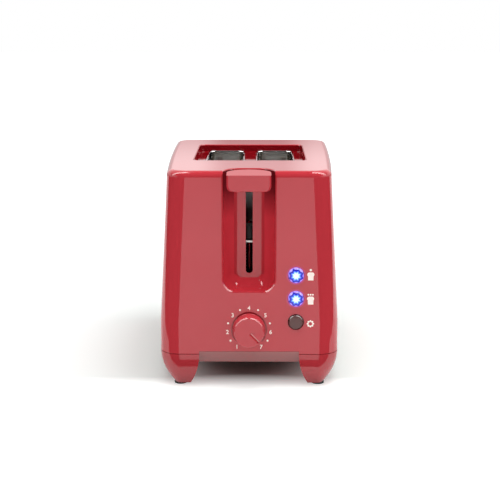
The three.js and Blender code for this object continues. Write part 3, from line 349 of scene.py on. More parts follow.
def soften(piece, width=0.0, crease=35):
    """Rounds the piece's hard edges and shades it smoothly."""
    if width:
        edge = piece.modifiers.new("edge", "BEVEL")
        edge.width = width * MM
        edge.segments = 3
        edge.limit_method = "ANGLE"
        edge.angle_limit = math.radians(crease)
        edge.use_clamp_overlap = True
        bake(piece)
    piece.data.shade_smooth()
    piece.data.set_sharp_from_angle(angle=math.radians(crease))
    weigh = piece.modifiers.new("weigh", "WEIGHTED_NORMAL")
    weigh.keep_sharp = True
    weigh.weight = 100
    bake(piece)
    return piece


def settle(piece, body, material, slot, *nodes):
    """Gives a finished piece its material and its body, and hides the CAD nodes that it stands for."""
    piece.data.materials.clear()
    piece.data.materials.append(material)
    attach(piece, body)
    if nodes:
        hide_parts(*nodes)
    return piece


def quarter(steps):
    """Angles from 0 to a right angle."""
    return [math.pi / 2 * i / steps for i in range(steps + 1)]


# Repeated things
def copies_tree():
    """Copies of a form, one on each point."""
    tree = bpy.data.node_groups.new("copies_on_points", "GeometryNodeTree")
    sockets = tree.interface.new_socket
    sockets(name="Points", in_out="INPUT", socket_type="NodeSocketGeometry")
    form = sockets(name="Form", in_out="INPUT", socket_type="NodeSocketObject")
    finish = sockets(name="Finish", in_out="INPUT", socket_type="NodeSocketMaterial")
    sockets(name="Copies", in_out="OUTPUT", socket_type="NodeSocketGeometry")
    add, link = tree.nodes.new, tree.links.new
    given, result = add("NodeGroupInput"), add("NodeGroupOutput")
    source, place = add("GeometryNodeObjectInfo"), add("GeometryNodeInstanceOnPoints")
    real, paint = add("GeometryNodeRealizeInstances"), add("GeometryNodeSetMaterial")
    link(given.outputs["Form"], source.inputs["Object"])
    link(given.outputs["Points"], place.inputs["Points"])
    link(source.outputs["Geometry"], place.inputs["Instance"])
    link(place.outputs["Instances"], real.inputs["Geometry"])
    link(real.outputs["Geometry"], paint.inputs["Geometry"])
    link(given.outputs["Finish"], paint.inputs["Material"])
    link(paint.outputs["Geometry"], result.inputs["Copies"])
    return tree, {"Form": form.identifier, "Finish": finish.identifier}


def guide_tree():
    """A row of upright wires between two level rails, all centred on the origin."""
    tree = bpy.data.node_groups.new("wire_guide", "GeometryNodeTree")
    sockets = tree.interface.new_socket
    names = {}
    sockets(name="Start", in_out="INPUT", socket_type="NodeSocketGeometry")
    for name, kind in (
        ("Uprights", "Int"), ("Wire Radius", "Float"), ("Height", "Float"), ("Row Length", "Float"),
        ("Rail Length", "Float"), ("Finish", "Material"),
    ):
        names[name] = sockets(name=name, in_out="INPUT", socket_type="NodeSocket" + kind).identifier
    sockets(name="Wires", in_out="OUTPUT", socket_type="NodeSocketGeometry")
    add, link = tree.nodes.new, tree.links.new
    given, result, join = add("NodeGroupInput"), add("NodeGroupOutput"), add("GeometryNodeJoinGeometry")
    uprights = ("Y", "Row Length", "Height", "Uprights")
    rails = ("Z", "Height", "Rail Length", None)
    for along, length, depth, count in (uprights, rails):
        line = add("GeometryNodeMeshLine")
        line.mode = "END_POINTS"
        for share, end in ((-0.5, "Start Location"), (0.5, "Offset")):
            part, spot = add("ShaderNodeMath"), add("ShaderNodeCombineXYZ")
            part.operation = "MULTIPLY"
            part.inputs[1].default_value = share
            link(given.outputs[length], part.inputs[0])
            link(part.outputs["Value"], spot.inputs[along])
            link(spot.outputs["Vector"], line.inputs[end])
        line.inputs["Count"].default_value = 2
        if count:
            link(given.outputs[count], line.inputs["Count"])
        wire_form, turn = add("GeometryNodeMeshCylinder"), add("GeometryNodeTransform")
        place = add("GeometryNodeInstanceOnPoints")
        wire_form.inputs["Vertices"].default_value = 16
        link(given.outputs["Wire Radius"], wire_form.inputs["Radius"])
        link(given.outputs[depth], wire_form.inputs["Depth"])
        turn.inputs["Rotation"].default_value = (0 if count else math.pi / 2, 0, 0)
        link(wire_form.outputs["Mesh"], turn.inputs["Geometry"])
        link(line.outputs["Mesh"], place.inputs["Points"])
        link(turn.outputs["Geometry"], place.inputs["Instance"])
        link(place.outputs["Instances"], join.inputs["Geometry"])
    real, paint = add("GeometryNodeRealizeInstances"), add("GeometryNodeSetMaterial")
    link(join.outputs["Geometry"], real.inputs["Geometry"])
    link(real.outputs["Geometry"], paint.inputs["Geometry"])
    link(given.outputs["Finish"], paint.inputs["Material"])
    link(paint.outputs["Geometry"], result.inputs["Wires"])
    return tree, names


def grow(piece, tree, names, **values):
    """Runs a tree on the piece and keeps the result as its mesh."""
    step = piece.modifiers.new("grow", "NODES")
    step.node_group = tree
    for name, value in values.items():
        step[names[name.replace("_", " ")]] = value
    return bake(piece)


COPIES, COPY_NAMES = copies_tree()
GUIDE, GUIDE_NAMES = guide_tree()


def copies(name, form, spots, finish):
    """One piece made of copies of the form, which is built round the casing's middle."""
    form.data.transform(Matrix.Translation((0, -CASING_SHIFT * MM, 0)))
    piece = grow(mesh_piece(name, spots, []), COPIES, COPY_NAMES, Form=form, Finish=finish)
    bpy.data.objects.remove(form)
    return piece


# Outlines
def rounded_outline(half_width, half_length, radius, corners=8, sides=1):
    """A level rectangle with round corners. Corners and long sides are split into so many parts."""
    points = []
    for corner, (sx, sy) in enumerate(((1, -1), (1, 1), (-1, 1), (-1, -1))):
        cx, cy = sx * (half_width - radius), sy * (half_length - radius)
        for i in range(corners + 1):
            angle = (corner - 1 + i / corners) * math.pi / 2
            points.append((cx + radius * math.cos(angle), cy + radius * math.sin(angle)))
        if corner % 2 == 0:
            for i in range(1, sides):
                points.append((sx * half_width, cy - sy * 2 * (half_length - radius) * i / sides))
    return points


def casing_half_width(height):
    straight_top = SEAM_HEIGHT + STRAIGHT_HEIGHT
    rise = (height - straight_top) / (TOP_HEIGHT - TOP_FILLET - straight_top)
    return TOP_WIDTH / 2 + SIDE_DRAFT * (1 - min(max(rise, 0), 1))


def casing_ring(height, inset, corners=18, sides=24):
    half_width = casing_half_width(height) - inset
    half_length = BODY_LENGTH / 2 - inset
    ring = []
    radius = max(CORNER_RADIUS - inset, 1)
    for x, y in rounded_outline(half_width, half_length, radius, corners, sides):
        share = (half_length - y) / (2 * half_length)
        ring.append((x * (1 - FRONT_NARROWING / half_width * share**2), y, height))
    return ring


def casing_form(inset, bottom, steps):
    """The casing drawn in by an inset. Without one, its lower edge is rounded too."""
    radius = max(TOP_FILLET - inset, 1)
    straight_top = SEAM_HEIGHT + STRAIGHT_HEIGHT
    rings = []
    if inset == 0:
        for angle in reversed(quarter(3)):
            height = bottom + SEAM_ROUND * (1 - math.sin(angle))
            rings.append(casing_ring(height, SEAM_ROUND * (1 - math.cos(angle))))
    else:
        rings.append(casing_ring(bottom, inset))
    rings.append(casing_ring(straight_top, inset))
    for angle in quarter(steps):
        height = TOP_HEIGHT - inset - radius * (1 - math.sin(angle))
        rings.append(casing_ring(height, inset + radius * (1 - math.cos(angle))))
    return loft("casing_form", rings)


def channel_half_width(dish):
    return (CHANNEL_FLOOR_WIDTH + (CHANNEL_WIDTH - CHANNEL_FLOOR_WIDTH) * dish) / 2


def cup_outline(half, y, bottom, radius, top, corners):
    """Upright outline with straight sides and rounded lower corners."""
    points = [(half, y, top), (-half, y, top)]
    for start, cx in ((math.pi, -half + radius), (-math.pi / 2, half - radius)):
        for i in range(corners + 1):
            angle = start + math.pi / 2 * i / corners
            points.append((cx + radius * math.cos(angle), y, bottom + radius + radius * math.sin(angle)))
    return points


def channel_ring(depth_share, y, margin):
    dish = math.sqrt(max(1 - depth_share**2, 0))
    half = channel_half_width(dish) + margin
    rise = CHANNEL_RISE - FACET_SLOPE * CHANNEL_DEPTH * (1 - depth_share)
    if depth_share <= FACET_SHARE:
        rise = FACET_FOOT * (depth_share / FACET_SHARE) ** 4
    corner = CHANNEL_CORNER * (FLOOR_CORNER_SHARE + (1 - FLOOR_CORNER_SHARE) * dish)
    radius = min(corner + margin, half - 1)
    return cup_outline(half, y, CHANNEL_BOTTOM + rise - margin, radius, TOP_HEIGHT + 2 * OVERCUT, 12)


def channel_form(margin, flare):
    """The channel grown by a margin, or with a front edge that flares outwards."""
    rings = []
    for angle in reversed(quarter(16)):
        share = math.sin(angle)
        if not flare or share * CHANNEL_DEPTH > FLARE_SLOPE * flare:
            rings.append(channel_ring(share, FRONT + share * (CHANNEL_DEPTH + margin), margin))
    if flare:
        for lip, depth in ((0, FLARE_SLOPE * flare), (1, -HAIR)):
            rings.append(channel_ring(max(depth, 0) / CHANNEL_DEPTH, FRONT + depth, flare * lip))
    rings.append(channel_ring(0, FRONT - 3 * OVERCUT, flare or margin))
    return loft("channel_form", rings)


def top_edge_levels(flare, steps):
    """Heights and margins of a cutter that rounds an edge of the casing's top."""
    levels = [
        (TOP_HEIGHT - flare * (1 - math.sin(a)) + HAIR, flare * (1 - math.cos(a))) for a in quarter(steps)
    ]
    return levels + [(TOP_HEIGHT + 2 * OVERCUT, flare)]


def channel_top_flare(flare):
    """Cutter that rounds the edge between the channel's wall and the casing's top."""
    rings = []
    for height, margin in top_edge_levels(flare, 6):
        ring = []
        for angle in quarter(24):
            x = channel_half_width(math.cos(angle)) + margin * math.cos(angle)
            ring.append((x, FRONT + (CHANNEL_DEPTH + margin) * math.sin(angle)))
        right = [(ring[0][0], FRONT - 3 * OVERCUT)] + ring
        outline = right + [(-x, y) for x, y in reversed(right)]
        rings.append([(x, y, height) for x, y in outline])
    return loft("channel_top_flare", rings)


def well_form(margin, flare):
    """The well grown by a margin, or with an upper edge that flares outwards."""
    def ring(height, ease):
        outline = rounded_outline(
            WELL_WIDTH / 2 + margin + ease, WELL_LENGTH / 2 + margin + ease, WELL_CORNER + margin + ease
        )
        return [(x, y + WELL_CENTRE, height) for x, y in outline]

    bottom = WELL_FLOOR - margin
    rings = [
        ring(bottom + WELL_FOOT * (1 - math.cos(a)), -WELL_FOOT * (1 - math.sin(a))) for a in quarter(4)
    ]
    rings += [ring(*level) for level in (top_edge_levels(flare, 5) if flare else [(TOP_HEIGHT - 0.5, 0)])]
    return loft("well_form", rings)


def slot_ring(x, height, margin):
    outline = rounded_outline(SLOT_OPENING / 2 + margin, SLOT_LENGTH / 2 + margin, SLOT_CORNER + margin)
    return [(x + px, py + WELL_CENTRE, height) for px, py in outline]


def round_hole(x, z, radius, y0, y1, sides=48):
    return lathe("hole", [(radius, 0), (radius, y1 - y0)], (x, y1, z), sides)


# Materials
def principled_of(material):
    return material.node_tree.nodes["Principled BSDF"]


def shader(name, color, roughness, metallic=0.0):
    material = bpy.data.materials.new(name)
    material.use_nodes = True
    principled = principled_of(material)
    principled.inputs["Base Color"].default_value = (*color, 1)
    principled.inputs["Roughness"].default_value = roughness
    principled.inputs["Metallic"].default_value = metallic
    return material, principled


def wire(material, kind, links=(), **values):
    """Adds a node. Values set its sockets or its own settings, and links name what feeds each socket."""
    node = material.node_tree.nodes.new(kind)
    for key, value in values.items():
        name = key.replace("_", " ").title()
        if name in node.inputs:
            node.inputs[name].default_value = value
        else:
            setattr(node, key, value)
    for socket, source in dict(links).items():
        material.node_tree.links.new(source, node.inputs[socket])
    return node


def mapped(material, value, start, end):
    """Maps a value from one range to another."""
    limits = {"from_min": start[0], "from_max": start[1], "to_min": end[0], "to_max": end[1]}
    return wire(material, "ShaderNodeMapRange", {"Value": value}, **limits).outputs["Result"]


def math_node(material, operation, *values):
    """Calculates with values that are numbers or outputs of other nodes."""
    node = wire(material, "ShaderNodeMath", operation=operation)
    for socket, value in zip(node.inputs, values):
        if isinstance(value, bpy.types.NodeSocket):
            material.node_tree.links.new(value, socket)
        else:
            socket.default_value = value
    return node.outputs["Value"]


def feed(material, source, name):
    """Links a source to a socket of the material's shader."""
    material.node_tree.links.new(source, principled_of(material).inputs[name])


def object_place(material):
    return wire(material, "ShaderNodeTexCoord").outputs["Object"]


def object_axis(material, axis):
    parts = wire(material, "ShaderNodeSeparateXYZ", {"Vector": object_place(material)})
    return parts.outputs[axis]


def surface(name, color, roughness, spread, scale, metallic=0.0, grain=0.0, grain_scale=0.0, stretch=None):
    """A material with clouds in its colour and between two levels of roughness, and a fine grain."""
    material = shader(name, color, roughness[0], metallic)[0]
    place = object_place(material)
    if stretch:
        mapping = wire(material, "ShaderNodeMapping", {"Vector": place})
        mapping.inputs["Scale"].default_value = stretch
        place = mapping.outputs["Vector"]
    clouds = wire(material, "ShaderNodeTexNoise", {"Vector": place}, scale=scale, detail=4.0)
    clouds = clouds.outputs["Fac"]
    level = mapped(material, clouds, (0, 1), (1 - spread, 1 + spread))
    tint = wire(material, "ShaderNodeVectorMath", {1: level}, operation="MULTIPLY")
    tint.inputs[0].default_value = color
    feed(material, tint.outputs["Vector"], "Base Color")
    feed(material, mapped(material, clouds, (0, 1), roughness), "Roughness")
    if grain:
        noise = wire(material, "ShaderNodeTexNoise", {"Vector": place}, scale=grain_scale, detail=3.0)
        height = {"Height": noise.outputs["Fac"]}
        relief = wire(material, "ShaderNodeBump", height, strength=grain, distance=0.1 * MM)
        feed(material, relief.outputs["Normal"], "Normal")
    return material


def glossy_red_plastic(name, color):
    return surface(name, color, (0.03, 0.06), spread=0.025, scale=26, grain=0.04, grain_scale=340)


casing_red = glossy_red_plastic("casing_red_plastic", (0.57, 0.040, 0.054))
# Painted glow: the casing gives off violet light round the two lit buttons, in place of their light falling
# on it.
painted_halos = []  # the lit buttons tint the casing round them
for lamp_height in BUTTON_HEIGHTS[:2]:
    apart = wire(casing_red, "ShaderNodeVectorMath", {0: object_place(casing_red)}, operation="DISTANCE")
    apart.inputs[1].default_value = (BUTTON_X * MM, (FRONT + CASING_SHIFT) * MM, lamp_height * MM)
    rim = (BUTTON_RADIUS * MM, HALO_REACH * BUTTON_RADIUS * MM)
    painted_halos.append(mapped(casing_red, apart.outputs["Value"], rim, (HALO_LEVEL, 0)))
principled_of(casing_red).inputs["Emission Color"].default_value = (0.35, 0.08, 1, 1)
feed(casing_red, math_node(casing_red, "ADD", *painted_halos), "Emission Strength")
base_red = glossy_red_plastic("base_red_plastic", (0.50, 0.036, 0.048))
knob_red = glossy_red_plastic("knob_red_plastic", (0.57, 0.040, 0.054))
# Painted light: a lighter copy of the casing red for the channel's walls.
channel_painted_light_shade_red = glossy_red_plastic("channel_painted_light_shade_plastic", (0.72, 0.047, 0.068))


def shade_by_height(material, low, high, least):
    """Painted shade: darkens the colour and dulls the gloss between two heights, down to a least share."""
    color = principled_of(material).inputs["Base Color"].links[0].from_socket
    height = object_axis(material, "Z")
    share = mapped(material, height, (low * MM, high * MM), (1, least))
    shaded = wire(material, "ShaderNodeVectorMath", {0: color, 1: share}, operation="MULTIPLY")
    feed(material, shaded.outputs["Vector"], "Base Color")
    feed(material, mapped(material, height, (low * MM, high * MM), (0.5, 0.0)), "Specular IOR Level")


# Painted shade on the channel's walls round the lever knob, darkest at the top.
shade_by_height(channel_painted_light_shade_red, low=146, high=172, least=0.26)
# Painted shade: a darker, more reflective copy of the base red for the downward-facing lip.
lip_painted_shade_red = glossy_red_plastic("lip_painted_shade_plastic", (0.34, 0.05, 0.05))
principled_of(lip_painted_shade_red).inputs["IOR"].default_value = 1.8
# Painted light: a lighter copy of the red for the dial's sloping side.
cone_painted_light_red = glossy_red_plastic("dial_cone_painted_light_plastic", (0.76, 0.075, 0.095))
# Painted highlight: a pale pink for one wall of the pointer groove.
pointer_painted_highlight = glossy_red_plastic("pointer_painted_highlight_plastic", (0.92, 0.42, 0.42))
# Painted shade: a dark, dull red for the inside of the well and the casing's inner side behind the buttons.
well_painted_shade_red = glossy_red_plastic("well_painted_shade_plastic", (0.22, 0.004, 0.008))
principled_of(well_painted_shade_red).inputs["Specular IOR Level"].default_value = 0.16

chrome = surface(
    "collar_chrome", (0.82, 0.82, 0.83), (0.05, 0.12), spread=0.03, scale=60,
    metallic=1, grain=0.05, grain_scale=900,
)
plated_steel = surface(
    "oven_plated_steel", (0.78, 0.76, 0.72), (0.28, 0.45), spread=0.1, scale=40,
    metallic=0.45, grain=0.25, grain_scale=500, stretch=(1, 1, 6),
)
tray_steel = surface(
    "crumb_tray_steel", (0.42, 0.41, 0.39), (0.32, 0.46), spread=0.08, scale=50,
    metallic=0.9, grain=0.2, grain_scale=600, stretch=(6, 1, 1),
)
# Very dark steel for the lever arm and the guide brackets. Its darkness is partly painted shade that keeps
# the lever slot black.
slot_shade_dark_steel = surface(
    "slot_shade_dark_steel", (0.035, 0.032, 0.03), (0.48, 0.62), spread=0.15, scale=60,
    metallic=1, grain=0.15, grain_scale=700,
)
guide_steel = surface(
    "guide_wire_steel", (0.62, 0.61, 0.59), (0.2, 0.32), spread=0.08, scale=200,
    metallic=1, grain=0.1, grain_scale=1500,
)
coil_steel = surface(
    "spring_steel_wire", (0.6, 0.59, 0.57), (0.18, 0.3), spread=0.06, scale=300,
    metallic=1,
)
heater_wire = surface(
    "heating_ribbon", (0.24, 0.22, 0.21), (0.4, 0.6), spread=0.2, scale=150,
    metallic=1, grain=0.1, grain_scale=900,
)
mica = surface(
    "mica_card", (0.48, 0.41, 0.29), (0.45, 0.7), spread=0.18, scale=70,
    grain=0.3, grain_scale=700,
)
board_resin = surface(
    "board_resin", (0.33, 0.19, 0.05), (0.45, 0.6), spread=0.1, scale=120,
    grain=0.1, grain_scale=900,
)
copper = surface(
    "copper_winding", (0.60, 0.25, 0.12), (0.25, 0.4), spread=0.1, scale=300,
    metallic=1, grain=0.4, grain_scale=2000, stretch=(1, 1, 4),
)
black_plastic = surface(
    "black_plastic", (0.018, 0.017, 0.017), (0.35, 0.5), spread=0.1, scale=80,
    grain=0.2, grain_scale=900,
)
rubber = surface(
    "pad_rubber", (0.012, 0.012, 0.012), (0.7, 0.9), spread=0.15, scale=120,
    grain=0.5, grain_scale=1200,
)
smoked = surface("smoked_lens", (0.105, 0.032, 0.028), (0.08, 0.16), spread=0.1, scale=200)
cream = surface("cream_print_painted_glow", (0.92, 0.80, 0.73), (0.4, 0.6), spread=0.04, scale=200)
# Painted glow: the print gives off a little light of its own.
principled_of(cream).inputs["Emission Color"].default_value = (1, 0.82, 0.78, 1)
principled_of(cream).inputs["Emission Strength"].default_value = 0.26


def lit_lens(name, x, z):
    """Blue lamp under a clear cap: a white core, petals and a violet rim. The rim's lighter glow is partly
    the lamp and partly a painted highlight on the cap's edge.
    """
    material, principled = shader(name, (0.02, 0.02, 0.35), 0.1)
    centred = wire(material, "ShaderNodeMapping", {"Vector": object_place(material)})
    centred.inputs["Location"].default_value = (-x * MM, 0, -z * MM)
    parts = wire(material, "ShaderNodeSeparateXYZ", {"Vector": centred.outputs["Vector"]}).outputs
    flat = wire(material, "ShaderNodeCombineXYZ", {"X": parts["X"], "Y": parts["Z"]})
    reach = wire(material, "ShaderNodeVectorMath", {0: flat.outputs["Vector"]}, operation="LENGTH")
    radius = math_node(material, "DIVIDE", reach.outputs["Value"], BUTTON_RADIUS * MM)
    turn = math_node(material, "ARCTAN2", parts["Z"], parts["X"])
    wave = math_node(material, "COSINE", math_node(material, "MULTIPLY", turn, LAMP_PETALS))
    shaped = math_node(material, "ADD", radius, math_node(material, "MULTIPLY", wave, LAMP_SWING))
    ramp = wire(material, "ShaderNodeValToRGB", {"Fac": shaped})
    # The last stop, the lighter violet rim, is partly a painted highlight on the cap's edge.
    stops = [
        (0.0, (0.95, 1, 1, 1)), (0.34, (0.6, 0.95, 1, 1)), (0.5, (0.12, 0.3, 1, 1)),
        (0.64, (0.01, 0.03, 0.5, 1)), (0.76, (0.002, 0.002, 0.08, 1)), (0.86, (0.01, 0.008, 0.2, 1)),
        (0.97, (0.4, 0.25, 0.8, 1)),
    ]
    while len(ramp.color_ramp.elements) < len(stops):
        ramp.color_ramp.elements.new(0.5)
    for element, (position, color) in zip(ramp.color_ramp.elements, stops):
        element.position = position
        element.color = color
    feed(material, ramp.outputs["Color"], "Emission Color")
    principled.inputs["Emission Strength"].default_value = 1.3
    return material


# Feet of the base
def foot_forms():
    levels = 14
    envelope = []
    wedges = [[], [], [], []]
    places = [(sx, sy) for sx in (-1, 1) for sy in (-1, 1)]
    for i in range(levels + 1):
        height = FOOT_BOTTOM + (BASE_TOP - FOOT_BOTTOM) * i / levels
        drop = 1 - i / levels
        envelope.append(casing_ring(height, FOOT_INSET * drop**2))
        half = FOOT_WIDTH - FOOT_TAPER * drop**3 / 2
        inner_x = casing_half_width(SEAM_HEIGHT) - FRONT_NARROWING - FOOT_WIDTH + FOOT_TAPER * drop**2
        inner_y = BODY_LENGTH / 2 - FOOT_WIDTH + FOOT_TAPER * drop**2
        for stack, (sx, sy) in zip(wedges, places):
            outline = rounded_outline(half, half, FOOT_CORNER)
            stack.append([(sx * (inner_x + half) + x, sy * (inner_y + half) + y, height) for x, y in outline])
    return [combine(loft("foot", stack), [loft("envelope", envelope)], "INTERSECT") for stack in wedges]


def foot_corners(low, high):
    """Blocks over the four feet, where the seam runs lower."""
    x = casing_half_width(SEAM_HEIGHT) - FRONT_NARROWING - FOOT_WIDTH
    y = BODY_LENGTH / 2 - FOOT_WIDTH
    blocks = []
    for sx in (-1, 1):
        for sy in (-1, 1):
            near = (min(sx * x, sx * FAR_OUT), min(sy * y, sy * FAR_OUT), low)
            far = (max(sx * x, sx * FAR_OUT), max(sy * y, sy * FAR_OUT), high)
            blocks.append(box("corner", near, far))
    return blocks


# Casing shell with its well, channel, slots and holes
casing = casing_form(0, SEAM_HEIGHT, 10)
combine(casing, [casing_form(WALL, SEAM_HEIGHT - OVERCUT, 4)])
tub = combine(channel_form(WALL, 0), [casing_form(2.5 * HAIR, SEAM_HEIGHT - OVERCUT, 10)], "INTERSECT")
combine(casing, [tub, well_form(WALL, 0)], "UNION")
combine(casing, [channel_form(0, CHANNEL_FLARE), channel_top_flare(CHANNEL_FLARE), well_form(0, WELL_FLARE)])
slot_heights = (WELL_FLOOR - 6 * OVERCUT, WELL_FLOOR + 3 * OVERCUT)
slot_cuts = [
    loft("slot_cut", [slot_ring(x, z, SLOT_CUT) for z in slot_heights])
    for x in (-SLOT_SPACING / 2, SLOT_SPACING / 2)
]
floor_front, floor_back = FRONT + CHANNEL_DEPTH - OVERCUT, FRONT + CHANNEL_DEPTH + WALL + OVERCUT
half, foot = LEVER_SLOT_WIDTH / 2, LEVER_SLOT_BOTTOM + LEVER_SLOT_WIDTH / 2
lever_cut = box("lever_cut", (-half, floor_front, foot), (half, floor_back, LEVER_SLOT_TOP))
lever_round = round_hole(0, foot, half, floor_front, floor_back)
wall_front, wall_back = FRONT - OVERCUT, FRONT + WALL + OVERCUT
rear_inside, rear_outside = REAR - WALL - OVERCUT, REAR + OVERCUT
holes = [round_hole(BUTTON_X, z, BUTTON_RADIUS + PLAY, wall_front, wall_back) for z in BUTTON_HEIGHTS]
holes.append(round_hole(0, DIAL_HEIGHT, DIAL_HUB + PLAY, wall_front, wall_back))
holes.append(round_hole(0, DIAL_HEIGHT, DIAL_RECESS, wall_front, FRONT + DIAL_RECESS_DEPTH, 96))
holes.append(round_hole(GLAND_X, GLAND_HEIGHT, GLAND_HOLE, rear_inside, rear_outside))
below = SEAM_HEIGHT - 2 * OVERCUT
near, far = (-TRAY_HALF_WIDTH, rear_inside, below), (TRAY_HALF_WIDTH, rear_outside, TRAY_TOP)
notch = box("notch", near, far)
skirt = box("skirt", (-FAR_OUT, -FAR_OUT, below), (FAR_OUT, FAR_OUT, SEAM_HEIGHT + SEAM_STEP))
combine(skirt, foot_corners(below - OVERCUT, SEAM_HEIGHT + SEAM_STEP + OVERCUT))
combine(casing, [*slot_cuts, lever_cut, lever_round, *holes, notch, skirt])
casing.name = "casing_shell"
settle(soften(casing, width=0.35, crease=30), "toaster_body", casing_red, "red_plastic", "housing")
casing.data.materials.append(well_painted_shade_red)
casing.data.materials.append(channel_painted_light_shade_red)
CASING_FACE, PAINTED_SHADE_FACE, CHANNEL_FACE = 0, 1, 2
WELL_MARGIN = 0.6
WELL_RIM = 0.9
CHANNEL_MARGIN = 0.3
CHANNEL_RIM = 1.2
BEHIND_BUTTONS = 15
INNER_WALL = (1.5, 4)


def casing_face_material(x, y, z, normal):
    """Index of the material of a casing face, from its middle and its direction."""
    depth = y - FRONT
    well_side = abs(x) < WELL_WIDTH / 2 + WELL_MARGIN
    well_end = abs(y - WELL_CENTRE) < WELL_LENGTH / 2 + WELL_MARGIN
    # Painted shade on the inside of the well.
    if well_side and well_end and WELL_FLOOR - 0.5 < z < TOP_HEIGHT - WELL_RIM:
        return PAINTED_SHADE_FACE
    # Painted shade too on the casing's inner side behind the buttons.
    if abs(x - BUTTON_X) < BEHIND_BUTTONS and INNER_WALL[0] < depth < INNER_WALL[1] and normal.y > 0.5:
        return PAINTED_SHADE_FACE  # the casing's inner side, seen through the gaps round the buttons
    channel_side = abs(x) < CHANNEL_WIDTH / 2 + CHANNEL_MARGIN
    channel_end = CHANNEL_RIM < depth < CHANNEL_DEPTH + CHANNEL_MARGIN
    if channel_side and channel_end and z < TOP_HEIGHT - CHANNEL_RIM and normal.y > -0.9:
        return CHANNEL_FACE  # its walls, but not its floor
    return CASING_FACE


for face in casing.data.polygons:
    x, y, z = face.center / MM
    face.material_index = casing_face_material(x, y - CASING_SHIFT, z, face.normal)


# Base with its sloped lip and four feet
lip = [casing_ring(BASE_BOTTOM, LIP_INSET), casing_ring(LIP_TOP, 0)]
hollow = [casing_ring(BASE_BOTTOM + WALL, LIP_INSET + 0.5), casing_ring(LIP_TOP + OVERCUT, WALL)]
low, high = BASE_TOP - 5 * HAIR, LIP_TOP + 2 * OVERCUT
base = loft("base_moulding", lip)
combine(base, [loft("hollow", hollow), *foot_corners(low, high)])
combine(base, foot_forms(), "UNION")
near, far = (-TRAY_HALF_WIDTH, REAR - TRAY_GAP_DEPTH, low), (TRAY_HALF_WIDTH, REAR + 3 * OVERCUT, high)
combine(base, [box("tray_gap", near, far)])
settle(soften(base, width=0.4), "toaster_body", base_red, "red_plastic", "base")
base.data.materials.append(lip_painted_shade_red)
# The front faces of the lip that face down get the painted shade.
for face in base.data.polygons:
    x, y, z = face.center / MM
    at_front = abs(x) < LIP_HALF_WIDTH and y < FRONT + CASING_SHIFT + LIP_DEPTH
    if at_front and z > BASE_BOTTOM and -0.95 < face.normal.z < -0.3:
        face.material_index = 1

# Chrome collars round the slots
for side, name in SIDES:
    foot, bead = WELL_FLOOR - COLLAR_DROP, COLLAR_OUTER / 2
    profile = [(COLLAR_INNER, foot), (COLLAR_INNER, COLLAR_RIM), (COLLAR_OUTER, COLLAR_RIM)]
    for i in range(11):
        angle = math.pi * i / 10
        height = COLLAR_RIM + BEAD_HEIGHT + bead * math.sin(angle)
        profile.append((bead * (1 + math.cos(angle)), height))
    profile.append((0, foot))
    rings = [slot_ring(side * SLOT_SPACING / 2, z, out) for out, z in profile]
    collar = loft("slot_collar_" + name, rings, closed=True)
    settle(soften(collar, crease=50), "toaster_body", chrome, "chrome_trim", "slot_trim_" + name)


# Lever knob
def knob_plan(height):
    """Outline of the knob seen from above: straight sides and a round back."""
    half = KNOB_WIDTH / 2
    points = [(half, knob_front, height)]
    for i in range(41):
        angle = math.pi * i / 40
        y = knob_front + KNOB_STRAIGHT + (KNOB_DEPTH - KNOB_STRAIGHT) * math.sin(angle)
        points.append((half * math.cos(angle), y, height))
    points.append((-half, knob_front, height))
    return points


def knob_face(y, inset):
    """Outline of the knob seen from the front, drawn in at its sides and bottom."""
    half = KNOB_WIDTH / 2 - inset
    return cup_outline(half, y, KNOB_BOTTOM + inset, KNOB_CORNER, KNOB_BOTTOM + KNOB_TALL, 8)


knob_top = KNOB_BOTTOM + KNOB_HEIGHT
knob_front = FRONT - KNOB_REACH
knob_back = knob_front + KNOB_DEPTH
knob = loft("knob", [knob_plan(z) for z in (KNOB_BOTTOM - OVERCUT, knob_top + KNOB_RISE + OVERCUT)])
rings = [
    knob_face(knob_front - HAIR / 2 + KNOB_BEVEL * (1 - math.cos(a)), KNOB_BEVEL * (1 - math.sin(a)))
    for a in quarter(6)
]
combine(knob, [loft("knob_face", [*rings, knob_face(knob_back + 2 * OVERCUT, 0)])], "INTERSECT")
slope = OVERCUT * KNOB_RISE / KNOB_DEPTH
front, back, above = knob_front - OVERCUT, knob_back + OVERCUT, KNOB_BOTTOM + KNOB_TALL
section = [
    (front, knob_top - slope), (back, knob_top + KNOB_RISE + slope), (back, above), (front, above)
]
lid = loft("lid", [[(x, y, z) for y, z in section] for x in (-KNOB_WIDTH, KNOB_WIDTH)])
near = (-SOCKET_HALF_WIDTH, knob_back - SOCKET_REACH, SOCKET_BOTTOM)
socket = box("socket", near, (SOCKET_HALF_WIDTH, back, SOCKET_TOP))
combine(knob, [lid, socket])
knob.name = "lever_knob_cap"
settle(soften(knob, width=0.3, crease=40), "carriage", knob_red, "red_plastic", "lever_knob")

# Browning dial with an engraved pointer
profile = [(0, -WALL), (DIAL_HUB, -WALL), (DIAL_HUB, SKIRT_BACK), (DIAL_SKIRT - SKIRT_BEVEL, SKIRT_BACK)]
profile += [(DIAL_SKIRT, SKIRT_BACK + SKIRT_BEVEL), (DIAL_SKIRT, SKIRT_FRONT)]
for angle in quarter(4)[1:]:
    radius = DIAL_SKIRT - SKIRT_ROUND * (1 - math.cos(angle))
    profile.append((radius, SKIRT_FRONT + SKIRT_ROUND * math.sin(angle)))
profile += [(DIAL_FACE, DIAL_REACH - FACE_DROP), (DIAL_FACE - FACE_BEVEL, DIAL_REACH), (0, DIAL_REACH)]
dial = lathe("dial", profile, (0, DIAL_BACK, DIAL_HEIGHT), 96)
sine, cosine = math.sin(POINTER_ANGLE), math.cos(POINTER_ANGLE)
mouth, root = DIAL_BACK - DIAL_REACH - OVERCUT / 2, DIAL_BACK - DIAL_REACH + POINTER_DEPTH
